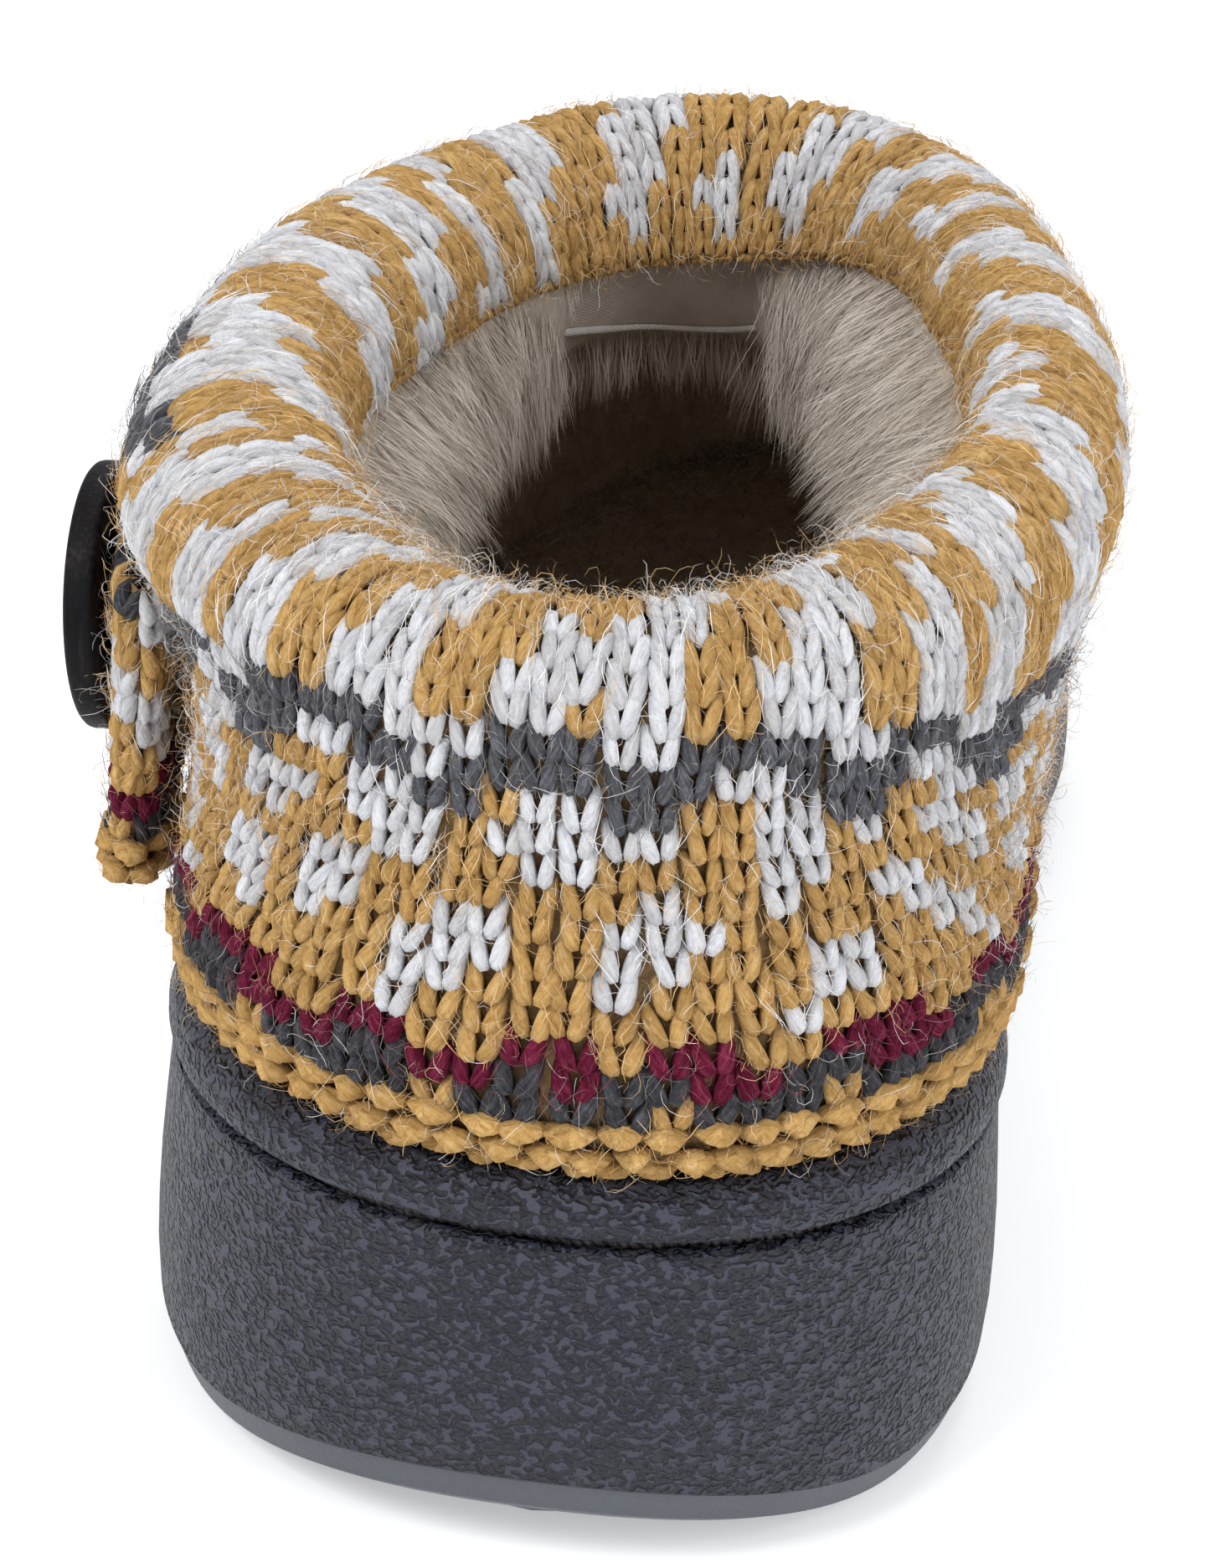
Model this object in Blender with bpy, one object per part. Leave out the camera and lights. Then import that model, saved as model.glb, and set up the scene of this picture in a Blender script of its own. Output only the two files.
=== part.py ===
"""A left clog slipper: a moulded cup sole, a suede upper, and a thick knitted cuff with a buttoned flap.

Run it with: blender --background --python part.py
Everything is in metres. The origin is on the floor under the middle of the heel, +Y runs to the toe,
+Z is up, and +X is the wearer's right, so the shoe's outer side is -X.
"""

import math
from collections import namedtuple
from functools import lru_cache

import bmesh
import bpy
from mathutils import Matrix, Vector

# Driving sizes of the last and the sole
SOLE_LENGTH = 0.252
HEEL_BACK = -0.046
TOE_TIP = HEEL_BACK + SOLE_LENGTH
HEEL_WIDTH = 0.0826
WAIST_WIDTH = 0.081
BALL_WIDTH = 0.091
UPPER_WALL = 0.0025
GAP = 0.0003

# Stations round each ring: station 0 is the middle of the heel, and they go by the outer side to the toe
AROUND = 60

# The sole's underside: a bevel under the heel, a low arch and the toe spring
HEEL_BEVEL_START = -0.024
HEEL_BEVEL_RISE = 0.0045
ARCH_START = 0.044
ARCH_END = 0.088
ARCH_RISE = 0.0020
TOE_SPRING_START = 0.148
TOE_SPRING_RISE = 0.0125
LUG_DEPTH = 0.0018
LUG_INSET = 0.0034
LUG_LENGTH = 0.0060
LUG_PITCH = 0.0088
LUG_CHEVRON = 0.0035
LUG_ROOT = 0.0010

# The slit that carries the stitching round the heel, and where it dies out on the two sides
GROOVE_DEPTH = 0.0026
GROOVE_FADE_START = -0.026
GROOVE_FADE_END = -0.004

# How deep the upper's foot sits inside the sole's outer line
CUP_WALL = 0.0050
INSOLE_THICKNESS = 0.0042

# The knitted cuff
CUFF_HEM_THICKNESS = 0.0046
CUFF_TOP_THICKNESS = 0.0072
CUFF_SIDE_THINNING = 0.0020
LAP_THICKNESS = 0.0037
CUFF_INNER_THICKNESS = 0.0085
CUFF_INNER_SIDE_THINNING = 0.0026
CUFF_DROP = 0.054
CUFF_HEM_ABOVE_LIP = 0.0006
CUFF_INNER_DROP = 0.0030
CUFF_ROLL_HEIGHT = 0.0095
CUFF_GAP = 0.0011

# The long pile under the cuff's inner leg, a ring of locks that is thin behind the label at the front
PILE_THICKNESS = 0.0105
PILE_SIDE_THICKNESS = 0.0065
PILE_FRONT_THICKNESS = 0.0020
PILE_GAP = 0.0005
PILE_LOCK = 0.0009
PILE_LOCK_DROP = 0.0012
PILE_FRONT_ANGLE = 174

# The flap that closes the cuff over its outer side, from its free edge to where it runs into the cuff
FLAP_BACK = -0.012
FLAP_FRONT = 0.040
FLAP_THICKNESS = 0.0046
FLAP_STANDOFF = 0.0012
FLAP_TOP = 0.875
LAP_START = 0.90
FLAP_FOOT = 0.21
FLAP_RECESS = 0.0032

# The button on the flap
BUTTON_RADIUS = 0.0131
BUTTON_THICKNESS = 0.0031
BUTTON_HOLE_RADIUS = 0.0012
BUTTON_HOLE_SPACING = 0.0026
BUTTON_PLACE = 0.31
BUTTON_HEIGHT = 0.72
BUTTON_SEGMENTS = 36
BUTTON_STANDOFF = 0.0004

# Heights along the shoe: the footbed, the stitched slit and the top of the lip
HeightLine = namedtuple("HeightLine", "y footbed slit lip")
HEIGHT_LINES = (
    HeightLine(-0.046, 0.0220, 0.0350, 0.0409),
    HeightLine(0.000, 0.0205, 0.0320, 0.0390),
    HeightLine(0.055, 0.0175, 0.0240, 0.0335),
    HeightLine(0.110, 0.0130, 0.0190, 0.0280),
    HeightLine(0.155, 0.0130, 0.0185, 0.0270),
    HeightLine(0.206, 0.0230, 0.0280, 0.0350),
)

# The middle line of the foot, which swings inwards to the big toe
SwingPoint = namedtuple("SwingPoint", "y x")
SWING = (
    SwingPoint(-0.046, 0.0036),
    SwingPoint(0.000, 0.0010),
    SwingPoint(0.055, -0.0018),
    SwingPoint(0.110, -0.0034),
    SwingPoint(0.160, -0.0013),
    SwingPoint(0.206, 0.0035),
)

# Level slices of the last. The half widths heel, waist and ball are at three shares of a slice's own length,
# and its heights are at its back, middle and front
SHARES = (0.17, 0.45, 0.72)
COLUMNS = "name back front z_back z_side z_front heel waist ball round_back round_front turn tilt"
Slice = namedtuple("Slice", COLUMNS)
FOOTPRINT = Slice(
    "footprint", HEEL_BACK, TOE_TIP, 0, 0, 0,
    HEEL_WIDTH / 2, WAIST_WIDTH / 2, BALL_WIDTH / 2, 0.050, 0.072, 0, 0,
)
UPPER_SLICES = (
    Slice("counter", -0.0415, 0.1975, 0.05, 0.043, 0.043, 0.0366, 0.0375, 0.0415, 0.048, 0.064, 0, 0),
    Slice("toe_box", -0.0418, 0.18, 0.056, 0.051, 0.0525, 0.0362, 0.0378, 0.0375, 0.048, 0.062, 0, 0),
    Slice("vamp_low", -0.0418, 0.153, 0.063, 0.059, 0.06, 0.0356, 0.0372, 0.0348, 0.048, 0.062, 0.001, 0),
    Slice("instep", -0.0416, 0.121, 0.0705, 0.0675, 0.069, 0.0356, 0.0372, 0.0328, 0.048, 0.062, 0.0025, 0.0005),
    Slice("throat", -0.0412, 0.0915, 0.078, 0.0785, 0.082, 0.036, 0.0366, 0.0335, 0.05, 0.064, 0.0042, 0.0012),
    Slice("topline", -0.04, 0.082, 0.0855, 0.092, 0.096, 0.0378, 0.0388, 0.036, 0.052, 0.065, 0.0064, 0.0018),
)
FOOT_LEVEL = 0
LIP_LEVEL = 1
TOP_LEVEL = LIP_LEVEL + len(UPPER_SLICES)

# The sole's outer wall from the underside to the lip. share runs 0 at the underside, 1 at the slit, 2 at
# the lip's top; lift is added to the height, outset to the outline, and cut only where the slit is
SoleRow = namedtuple("SoleRow", "name share lift outset cut")
SOLE_ROWS = (
    SoleRow("underside", 0.0, 0.0000, -0.0016, 0),
    SoleRow("band_foot", 0.0, 0.0006, -0.0003, 0),
    SoleRow("band_top", 0.0, 0.0030, 0.0002, 0),
    SoleRow("ledge", 0.0, 0.0035, 0.0009, 0),
    SoleRow("wall_low", 0.35, 0.0010, 0.0012, 0),
    SoleRow("wall_high", 0.75, 0.0000, 0.0006, 0),
    SoleRow("under_slit", 1.0, -0.0008, 0.0000, 0),
    SoleRow("slit_floor", 1.0, -0.0005, -0.0001, GROOVE_DEPTH),
    SoleRow("slit_roof", 1.0, 0.0005, 0.0001, GROOVE_DEPTH),
    SoleRow("lip_edge", 1.0, 0.0008, 0.0004, 0),
    SoleRow("lip_bulge", 1.45, 0.0000, 0.0006, 0),
    SoleRow("lip_shoulder", 1.85, 0.0000, -0.0006, 0),
    SoleRow("lip_top", 2.0, 0.0000, -0.0024, 0),
    SoleRow("lip_inside", 2.0, -0.0008, -CUP_WALL, 0),
)

# The pile's section: drop is how far a row lies below the top edge, depth the share of the thickness from the
# upper's wall, and lock which way the locks stand out, so that each tier's locks lie between the last tier's
PileRow = namedtuple("PileRow", "name drop depth lock")
PILE_ROWS = (
    PileRow("wall_top", 0.0040, 0.00, 0),
    PileRow("top", 0.0043, 0.62, 0),
    PileRow("upper_locks", 0.0105, 0.92, 1),
    PileRow("upper_tips", 0.0195, 1.00, 1),
    PileRow("tuck", 0.0195, 0.76, 0),
    PileRow("lower_locks", 0.0235, 0.80, -1),
    PileRow("lower_tips", 0.0300, 0.62, -1),
    PileRow("wall_foot", 0.0270, 0.00, 0),
    PileRow("wall_low", 0.0195, 0.00, 0),
    PileRow("wall_high", 0.0120, 0.00, 0),
)


def curve(x, xs, ys):
    """The height at x of a smooth curve through the points, level past both ends."""
    if x <= xs[0]:
        return ys[0]
    if x >= xs[-1]:
        return ys[-1]
    k = max(i for i in range(len(xs) - 1) if xs[i] <= x)

    def slope(i):
        low, high = max(i - 1, 0), min(i + 1, len(xs) - 1)
        return (ys[high] - ys[low]) / (xs[high] - xs[low])

    span = xs[k + 1] - xs[k]
    t = (x - xs[k]) / span
    return (
        (2 * t**3 - 3 * t**2 + 1) * ys[k]
        + (t**3 - 2 * t**2 + t) * span * slope(k)
        + (3 * t**2 - 2 * t**3) * ys[k + 1]
        + (t**3 - t**2) * span * slope(k + 1)
    )


def column(table, x, x_name, y_name):
    """Reads one named column of a table at x."""
    return curve(x, [getattr(row, x_name) for row in table], [getattr(row, y_name) for row in table])


def ease(x, start, end):
    """0 before start, 1 after end, and smooth between them."""
    t = min(max((x - start) / (end - start), 0), 1)
    return t * t * (3 - 2 * t)


def end_round(distance, radius, power=2.15):
    """The share of the full width at a distance from a rounded end."""
    t = min(max(distance / radius, 0), 1)
    return (1 - (1 - t) ** power) ** (1 / power)


def height(y, line):
    return column(HEIGHT_LINES, y, "y", line)


def underside(y):
    """How far the tread's contact line lies above the floor."""
    if y < HEEL_BEVEL_START:
        return HEEL_BEVEL_RISE * ((HEEL_BEVEL_START - y) / (HEEL_BEVEL_START - HEEL_BACK)) ** 2
    if ARCH_START < y < ARCH_END:
        return ARCH_RISE * math.sin(math.pi * (y - ARCH_START) / (ARCH_END - ARCH_START)) ** 2
    if y > TOE_SPRING_START:
        return TOE_SPRING_RISE * ((y - TOE_SPRING_START) / (TOE_TIP - TOE_SPRING_START)) ** 2
    return 0


def slice_point(cut, angle):
    """A level slice's point. Angle 0 is the heel, a quarter turn the outer side, and a half turn the toe."""
    share = (1 - math.cos(angle)) / 2
    y = cut.back + (cut.front - cut.back) * share
    half = curve(share, SHARES, (cut.heel, cut.waist, cut.ball))
    half *= end_round(y - cut.back, cut.round_back) * end_round(cut.front - y, cut.round_front)
    side = -1 if math.sin(angle) > 0 else 1
    z = curve(share, (0, 0.5, 1), (cut.z_back, cut.z_side, cut.z_front)) - cut.tilt * math.sin(angle)
    return Vector((column(SWING, y, "y", "x") + cut.turn * share + side * half, y, z))


def outline_point(angle, outset):
    """The sole's outline in plan, moved outwards by outset."""
    step = 1e-4
    along = slice_point(FOOTPRINT, angle + step) - slice_point(FOOTPRINT, angle - step)
    outwards = Vector((-along.y, along.x, 0)).normalized()
    return slice_point(FOOTPRINT, angle) + outset * outwards


def level_point(angle, level):
    """The point of one whole level of the upper, from its foot in the cup sole to its top edge."""
    if level <= LIP_LEVEL:
        point = outline_point(angle, -CUP_WALL - GAP)
        lifted = height(point.y, "footbed") + GAP if level == FOOT_LEVEL else height(point.y, "lip")
        return Vector((point.x, point.y, lifted))
    return slice_point(UPPER_SLICES[level - LIP_LEVEL - 1], angle)


def upper_point(angle, level):
    """The outside of the upper at any level: straight in the cup, then one smooth curve to the top."""
    k = min(int(level), TOP_LEVEL - 1)
    t = level - k
    low, high = level_point(angle, k), level_point(angle, k + 1)
    if k < LIP_LEVEL:
        return low.lerp(high, t)
    before = level_point(angle, max(k - 1, LIP_LEVEL))
    after = level_point(angle, min(k + 2, TOP_LEVEL))
    return (
        low * (2 * t**3 - 3 * t**2 + 1)
        + (high - before) / 2 * (t**3 - 2 * t**2 + t)
        + high * (3 * t**2 - 2 * t**3)
        + (after - low) / 2 * (t**3 - t**2)
    )


def upper_normal(angle, level):
    """The outward direction of the upper's surface."""
    step = 1e-3
    low, high = max(level - step, LIP_LEVEL), min(level + step, TOP_LEVEL)
    up = upper_point(angle, high) - upper_point(angle, low)
    along = upper_point(angle + step, level) - upper_point(angle - step, level)
    return up.cross(along).normalized()


@lru_cache(maxsize=None)
def level_below_top(angle, drop):
    """The level that lies a drop below the top edge along the upper, but never under the sole's lip."""
    step = (TOP_LEVEL - LIP_LEVEL) / 40
    length, level, last = 0, TOP_LEVEL, upper_point(angle, TOP_LEVEL)
    while level > LIP_LEVEL + step:
        point = upper_point(angle, level - step)
        run = (point - last).length
        share = (drop - length) / run
        lip = height(point.y, "lip") + CUFF_HEM_ABOVE_LIP
        if point.z < lip:
            share = min(share, (last.z - lip) / (last.z - point.z))
        if share < 1:
            return level - step * share
        length, level, last = length + run, level - step, point
    return level


def flap_recess(angle, rise):
    """How much the cuff is held back under the flap."""
    y = slice_point(UPPER_SLICES[-2], angle).y
    if math.sin(angle) < 0:
        return 0
    around = ease(y, FLAP_BACK - 0.016, FLAP_BACK) * (1 - ease(y, FLAP_FRONT - 0.008, FLAP_FRONT + 0.008))
    return FLAP_RECESS * (1 - 0.9 * rise) * around * (1 - ease(rise, LAP_START, 0.98))


def outer_side(angle):
    """1 on the shoe's outer side, where the band laps over itself, and 0 on the inner side."""
    turned = math.degrees(angle) % 360
    return ease(turned, 20, 62) * (1 - ease(turned, 100, 150))


def cuff_top_thickness(angle):
    """The knit's thickness at the top edge, less on the shoe's inner side."""
    inner = max(-math.sin(angle), 0)
    return CUFF_TOP_THICKNESS - CUFF_SIDE_THINNING * inner


def cuff_thickness(angle, rise):
    """The knit's thickness from the hem (rise 0) to the top edge (rise 1), with the lap over the flap."""
    growth = cuff_top_thickness(angle) - CUFF_HEM_THICKNESS
    lap = LAP_THICKNESS * outer_side(angle) * ease(rise, LAP_START, 0.98)
    return CUFF_HEM_THICKNESS + growth * ease(rise, 0.58, 0.98) + lap


def cuff_point(angle, rise, depth):
    """A point of the hanging cuff. depth is 0 on its inner face and 1 on its outer face."""
    low = level_below_top(angle, CUFF_DROP)
    level = low + (TOP_LEVEL - low) * rise
    thickness = cuff_thickness(angle, rise) - flap_recess(angle, rise)
    return upper_point(angle, level) + upper_normal(angle, level) * (CUFF_GAP + thickness * depth)


def cuff_inner_thickness(angle):
    """The thickness of the cuff's short inner leg, full at the heel and thinner at the sides."""
    return CUFF_INNER_THICKNESS - CUFF_INNER_SIDE_THINNING * ease((1 - math.cos(angle)) / 2, 0.0, 0.4)


def inner_leg_point(angle, share, depth):
    """A point of the cuff's short inner leg. share runs 0 at the top edge to 1 at its end."""
    top = TOP_LEVEL
    level = top + (level_below_top(angle, CUFF_INNER_DROP) - top) * share
    inwards = -upper_normal(angle, level)
    thickness = cuff_inner_thickness(angle) * depth
    return upper_point(angle, level) + inwards * (UPPER_WALL + CUFF_GAP + thickness)


def pile_thickness(angle):
    """The pile's thickness: thin at the front, where the label lies, and full from the sides to the heel."""
    turned = abs(math.degrees(angle) % 360 - PILE_FRONT_ANGLE)
    side = (PILE_SIDE_THICKNESS - PILE_FRONT_THICKNESS) * ease(turned, 10, 28)
    return PILE_FRONT_THICKNESS + side + (PILE_THICKNESS - PILE_SIDE_THICKNESS) * ease(turned, 35, 85)


def pile_point(angle, row):
    """A point of the pile's surface. Neighbouring stations are the crest and the side of one lock."""
    lock = row.lock * math.cos(AROUND / 2 * angle) * pile_thickness(angle) / PILE_THICKNESS
    level = level_below_top(angle, row.drop + PILE_LOCK_DROP * lock)
    depth = pile_thickness(angle) * row.depth + PILE_LOCK * lock
    return upper_point(angle, level) - upper_normal(angle, level) * (UPPER_WALL + PILE_GAP + depth)


def roll_point(angle, turn, depth=1.0):
    """A point of the rolled top: turn 0 is its outer side, a half turn the inner side."""
    start, end = cuff_point(angle, 1.0, depth), inner_leg_point(angle, 0.0, depth)
    middle, across = (start + end) / 2, (start - end) / 2
    rise = CUFF_GAP * 1.5 + (CUFF_ROLL_HEIGHT - CUFF_GAP * 1.5) * depth
    lift = Vector((0, 0, rise * (0.92 + 0.16 * outer_side(angle)) if depth else rise))
    return middle + across * math.cos(turn) + lift * math.sin(turn)


def ring(point_at):
    """A closed ring of points, one at each station round the shoe."""
    return [point_at(2 * math.pi * i / AROUND) for i in range(AROUND)]


def add_material(obj, colour, roughness, metallic=0.0):
    material = bpy.data.materials.new(obj.name)
    material.use_nodes = True
    shader = material.node_tree.nodes["Principled BSDF"]
    shader.inputs["Base Color"].default_value = (*colour, 1)
    shader.inputs["Roughness"].default_value = roughness
    shader.inputs["Metallic"].default_value = metallic
    obj.data.materials.append(material)


def add_mesh(name, points, faces, smooth_angle=math.radians(40)):
    """An object from points and faces, with its faces turned outwards and its round parts shaded smooth."""
    mesh = bpy.data.meshes.new(name)
    mesh.from_pydata(points, [], faces)
    shape = bmesh.new()
    shape.from_mesh(mesh)
    bmesh.ops.recalc_face_normals(shape, faces=shape.faces)
    shape.to_mesh(mesh)
    shape.free()
    mesh.shade_smooth()
    mesh.set_sharp_from_angle(angle=smooth_angle)
    obj = bpy.data.objects.new(name, mesh)
    bpy.context.scene.collection.objects.link(obj)
    return obj


def band_faces(rows, wrap_rows=False):
    """Faces between neighbouring rings, and from the last ring back to the first if wrap_rows."""
    count = len(rows[0])
    pairs = [(r, r + 1) for r in range(len(rows) - 1)]
    if wrap_rows:
        pairs.append((len(rows) - 1, 0))
    return [
        (low * count + i, low * count + (i + 1) % count, high * count + (i + 1) % count, high * count + i)
        for low, high in pairs
        for i in range(count)
    ]


def ladder_faces(row, count):
    """Rungs that close a ring straight across, from its outer side to its inner side."""
    first = row * count
    faces = []
    for i in range(count // 2):
        rung = (i, i + 1, (count - i - 1) % count, (count - i) % count)
        corners = list(dict.fromkeys(first + n for n in rung))
        faces.append(corners)
    return faces


def flatten(rows):
    return [point for row in rows for point in row]


def sole_point(angle, row):
    """A point of the sole's outer wall."""
    plain = outline_point(angle, row.outset)
    slit = 1 - ease(plain.y, GROOVE_FADE_START, GROOVE_FADE_END)
    point = outline_point(angle, row.outset - row.cut * slit)
    heights = (underside(plain.y) + LUG_DEPTH, height(plain.y, "slit"), height(plain.y, "lip"))
    low = min(int(row.share), 1)
    z = heights[low] + (heights[low + 1] - heights[low]) * (row.share - low)
    return Vector((point.x, point.y, z + row.lift))


def cup_floor_point(angle, outset):
    point = outline_point(angle, outset)
    return Vector((point.x, point.y, height(point.y, "footbed")))


def half_width_at(y, side, inset):
    """x of the sole's edge at y, on the outer (-1) or inner (1) side, brought in by inset."""
    share = min(max((y - HEEL_BACK) / SOLE_LENGTH, 0), 1)
    edge = slice_point(FOOTPRINT, side * -math.acos(1 - 2 * share))
    middle = column(SWING, y, "y", "x")
    half = (edge.x - middle) * side
    end_gap = min(y - HEEL_BACK, TOE_TIP - y)
    return middle + side * max(half - inset * (1 + 2 * (1 - ease(end_gap, 0.004, 0.034))), 0.004)


def lug_rows():
    """The y of each tread bar's middle, with the arch left bare."""
    first, last = -4, 21
    rows = [n * LUG_PITCH for n in range(first, last + 1)]
    return [y for y in rows if not ARCH_START - 0.004 < y < ARCH_END + 0.002]


def add_lug(y_middle):
    """One chevron tread bar, a closed block that the sole is joined with."""
    shares = (0, 0.25, 0.5, 0.75, 1)
    lines = []
    for lift in (0, LUG_DEPTH + LUG_ROOT):
        for edge in (-LUG_LENGTH / 2, LUG_LENGTH / 2):
            line = []
            for share in shares:
                y = y_middle + edge - LUG_CHEVRON * (1 - 2 * abs(share - 0.5)) + LUG_CHEVRON / 2
                left, right = half_width_at(y, -1, LUG_INSET), half_width_at(y, 1, LUG_INSET)
                line.append(Vector((left + (right - left) * share, y, underside(y) + lift)))
            lines.append(line)
    low_back, low_front, high_back, high_front = lines
    loops = [[low_back[n], low_front[n], high_front[n], high_back[n]] for n in range(len(shares))]
    faces = band_faces(loops) + [(0, 1, 2, 3), tuple(4 * (len(shares) - 1) + n for n in (3, 2, 1, 0))]
    lug = add_mesh("lug_shape", flatten(loops), faces)
    lug.hide_render = True
    lug.display_type = "WIRE"
    return lug


def add_outsole():
    """The moulded cup sole with its smooth foot band, pebbled wall, slit, lip and tread bars."""
    rows = [ring(lambda angle, row=row: sole_point(angle, row)) for row in SOLE_ROWS]
    rows.append(ring(lambda angle: cup_floor_point(angle, -CUP_WALL)))
    rows.append(ring(lambda angle: cup_floor_point(angle, -CUP_WALL - 0.0030)))
    faces = band_faces(rows) + ladder_faces(0, AROUND) + ladder_faces(len(rows) - 1, AROUND)
    sole = add_mesh("outsole", flatten(rows), faces)
    lugs = bpy.data.collections.new("lug_shapes")
    for y in lug_rows():
        lug = add_lug(y)
        bpy.context.scene.collection.objects.unlink(lug)
        lugs.objects.link(lug)
    bpy.context.scene.collection.children.link(lugs)
    joined = sole.modifiers.new("tread", "BOOLEAN")
    joined.operation = "UNION"
    joined.solver = "EXACT"
    joined.operand_type = "COLLECTION"
    joined.collection = lugs
    add_material(sole, (0.060, 0.062, 0.075), 0.62)
    return sole


def add_insole():
    """The covered footbed that lies in the upper."""
    inset = CUP_WALL + UPPER_WALL + 3 * GAP
    rises = ((GAP, 0.0006), (INSOLE_THICKNESS - 0.0010, 0.0), (INSOLE_THICKNESS, 0.0014))

    def point_at(angle, rise, more_inset):
        point = cup_floor_point(angle, -inset - more_inset)
        return point + Vector((0, 0, rise))

    rows = [ring(lambda angle, r=rise, m=more: point_at(angle, r, m)) for rise, more in rises]
    faces = band_faces(rows) + ladder_faces(0, AROUND) + ladder_faces(len(rows) - 1, AROUND)
    insole = add_mesh("insole", flatten(rows), faces)
    add_material(insole, (0.70, 0.64, 0.54), 0.95)
    return insole


def add_upper():
    """The suede upper, one hollow wall that is open at the ankle and underneath."""
    levels = [FOOT_LEVEL, LIP_LEVEL]
    levels += [LIP_LEVEL + n / 2 for n in range(1, 2 * (TOP_LEVEL - LIP_LEVEL) + 1)]
    rows = [ring(lambda angle, level=level: upper_point(angle, level)) for level in levels]
    upper = add_mesh("upper", flatten(rows), band_faces(rows))
    outside = upper.data.polygons[0]
    wall = upper.modifiers.new("wall", "SOLIDIFY")
    wall.thickness = UPPER_WALL
    wall.offset = -1 if outside.normal.dot(outside.center - Vector((0, 0.08, 0.03))) > 0 else 1
    add_material(upper, (0.085, 0.080, 0.082), 0.9)
    return upper


def add_knit_cuff():
    """The folded knit band: up the outside of the upper, over its edge in a fat roll, and down inside."""
    rises = (0.0, 0.14, 0.30, 0.46, 0.60, 0.74, LAP_START, 0.95, 1.0)
    turns = [math.radians(d) for d in (36, 72, 108, 144)]
    rows = [ring(lambda a: cuff_point(a, 0.03, 0.0)), ring(lambda a: cuff_point(a, 0.0, 0.4))]
    rows += [ring(lambda a, r=rise: cuff_point(a, r, 1.0)) for rise in rises[1:]]
    rows += [ring(lambda a, t=turn: roll_point(a, t)) for turn in turns]
    rows += [ring(lambda a, s=share: inner_leg_point(a, s, 1.0)) for share in (0.0, 0.55)]
    rows += [ring(lambda a, d=depth: inner_leg_point(a, 1.0, d)) for depth in (0.6, 0.0)]
    rows += [ring(lambda a, s=share: inner_leg_point(a, s, 0.0)) for share in (0.55, 0.0)]
    rows.append(ring(lambda a: roll_point(a, math.pi / 2, 0.0)))
    inner_rises = (1.0, LAP_START, 0.74, 0.60, 0.46, 0.30)
    rows += [ring(lambda a, r=rise: cuff_point(a, r, 0.0)) for rise in inner_rises]
    cuff = add_mesh("knit_cuff", flatten(rows), band_faces(rows, wrap_rows=True))
    add_material(cuff, (0.48, 0.29, 0.08), 0.95)
    return cuff


def add_pile_collar():
    """The long pile that lines the ankle: one ring of two tiers of fused locks."""
    rows = [ring(lambda angle, row=row: pile_point(angle, row)) for row in PILE_ROWS]
    pile = add_mesh("pile_collar", flatten(rows), band_faces(rows, wrap_rows=True), math.radians(70))
    add_material(pile, (0.62, 0.56, 0.47), 0.95)
    return pile


@lru_cache(maxsize=None)
def cuff_angle(y, rise):
    """The angle on the outer side at which the cuff's line at this rise reaches y."""
    low, high = 0.2, math.pi - 0.2
    for _ in range(16):
        angle = (low + high) / 2
        foot = level_below_top(angle, CUFF_DROP)
        if upper_point(angle, foot + (TOP_LEVEL - foot) * rise).y < y:
            low = angle
        else:
            high = angle
    return (low + high) / 2


def flap_edge_point(share, rise, standoff):
    """A point of the cuff's outer face under the flap, stood off outwards."""
    angle = cuff_angle(FLAP_BACK + (FLAP_FRONT - FLAP_BACK) * share, rise)
    foot = level_below_top(angle, CUFF_DROP)
    level = foot + (TOP_LEVEL - foot) * rise
    under = 3 * GAP + CUFF_GAP + cuff_thickness(angle, rise) - flap_recess(angle, rise)
    return upper_point(angle, level) + upper_normal(angle, level) * (under + standoff)


def flap_point(share, rise, depth):
    """A point of the flap. share runs from its free edge to the front, rise from its foot to its top."""
    free, sewn = 1 - ease(share, 0.0, 0.45), ease(share, 0.45, 1.0)
    foot_rise = FLAP_FOOT * (1 - sewn) + 0.03 * sewn
    foot = flap_edge_point(share, foot_rise, FLAP_STANDOFF * (0.2 + 0.8 * free))
    top = flap_edge_point(share, FLAP_TOP, 0.0)
    snug = flap_edge_point(share, foot_rise + (FLAP_TOP - foot_rise) * rise, 0.0)
    beside = flap_edge_point(share + 0.05, FLAP_TOP, 0.0) - flap_edge_point(share - 0.05, FLAP_TOP, 0.0)
    outwards = (top - foot).cross(beside).normalized()
    inside = foot.lerp(top, rise).lerp(snug, ease(share, 0.25, 0.75))
    return inside + outwards * FLAP_THICKNESS * (1 - 0.75 * sewn) * depth


def add_cuff_flap():
    """The end of the knit band, which laps over the cuff on the outer side and takes the button."""
    rises = [n / 6 for n in range(7)]
    stations = 9
    loops = []
    for n in range(stations + 1):
        share = n / stations
        slim = 0.22 if n in (0, stations) else 0.0
        loop = [flap_point(share, rise, slim) for rise in rises]
        loop.append(flap_point(share, 1.02, 0.5))
        loop += [flap_point(share, rise, 1 - slim) for rise in reversed(rises)]
        loop.append(flap_point(share, -0.03, 0.5))
        loops.append(loop)
    count = len(loops[0])
    faces = band_faces(loops)
    faces.append(tuple(range(count)))
    faces.append(tuple(stations * count + n for n in range(count)))
    flap = add_mesh("cuff_flap", flatten(loops), faces)
    add_material(flap, (0.48, 0.29, 0.08), 0.95)
    return flap


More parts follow.
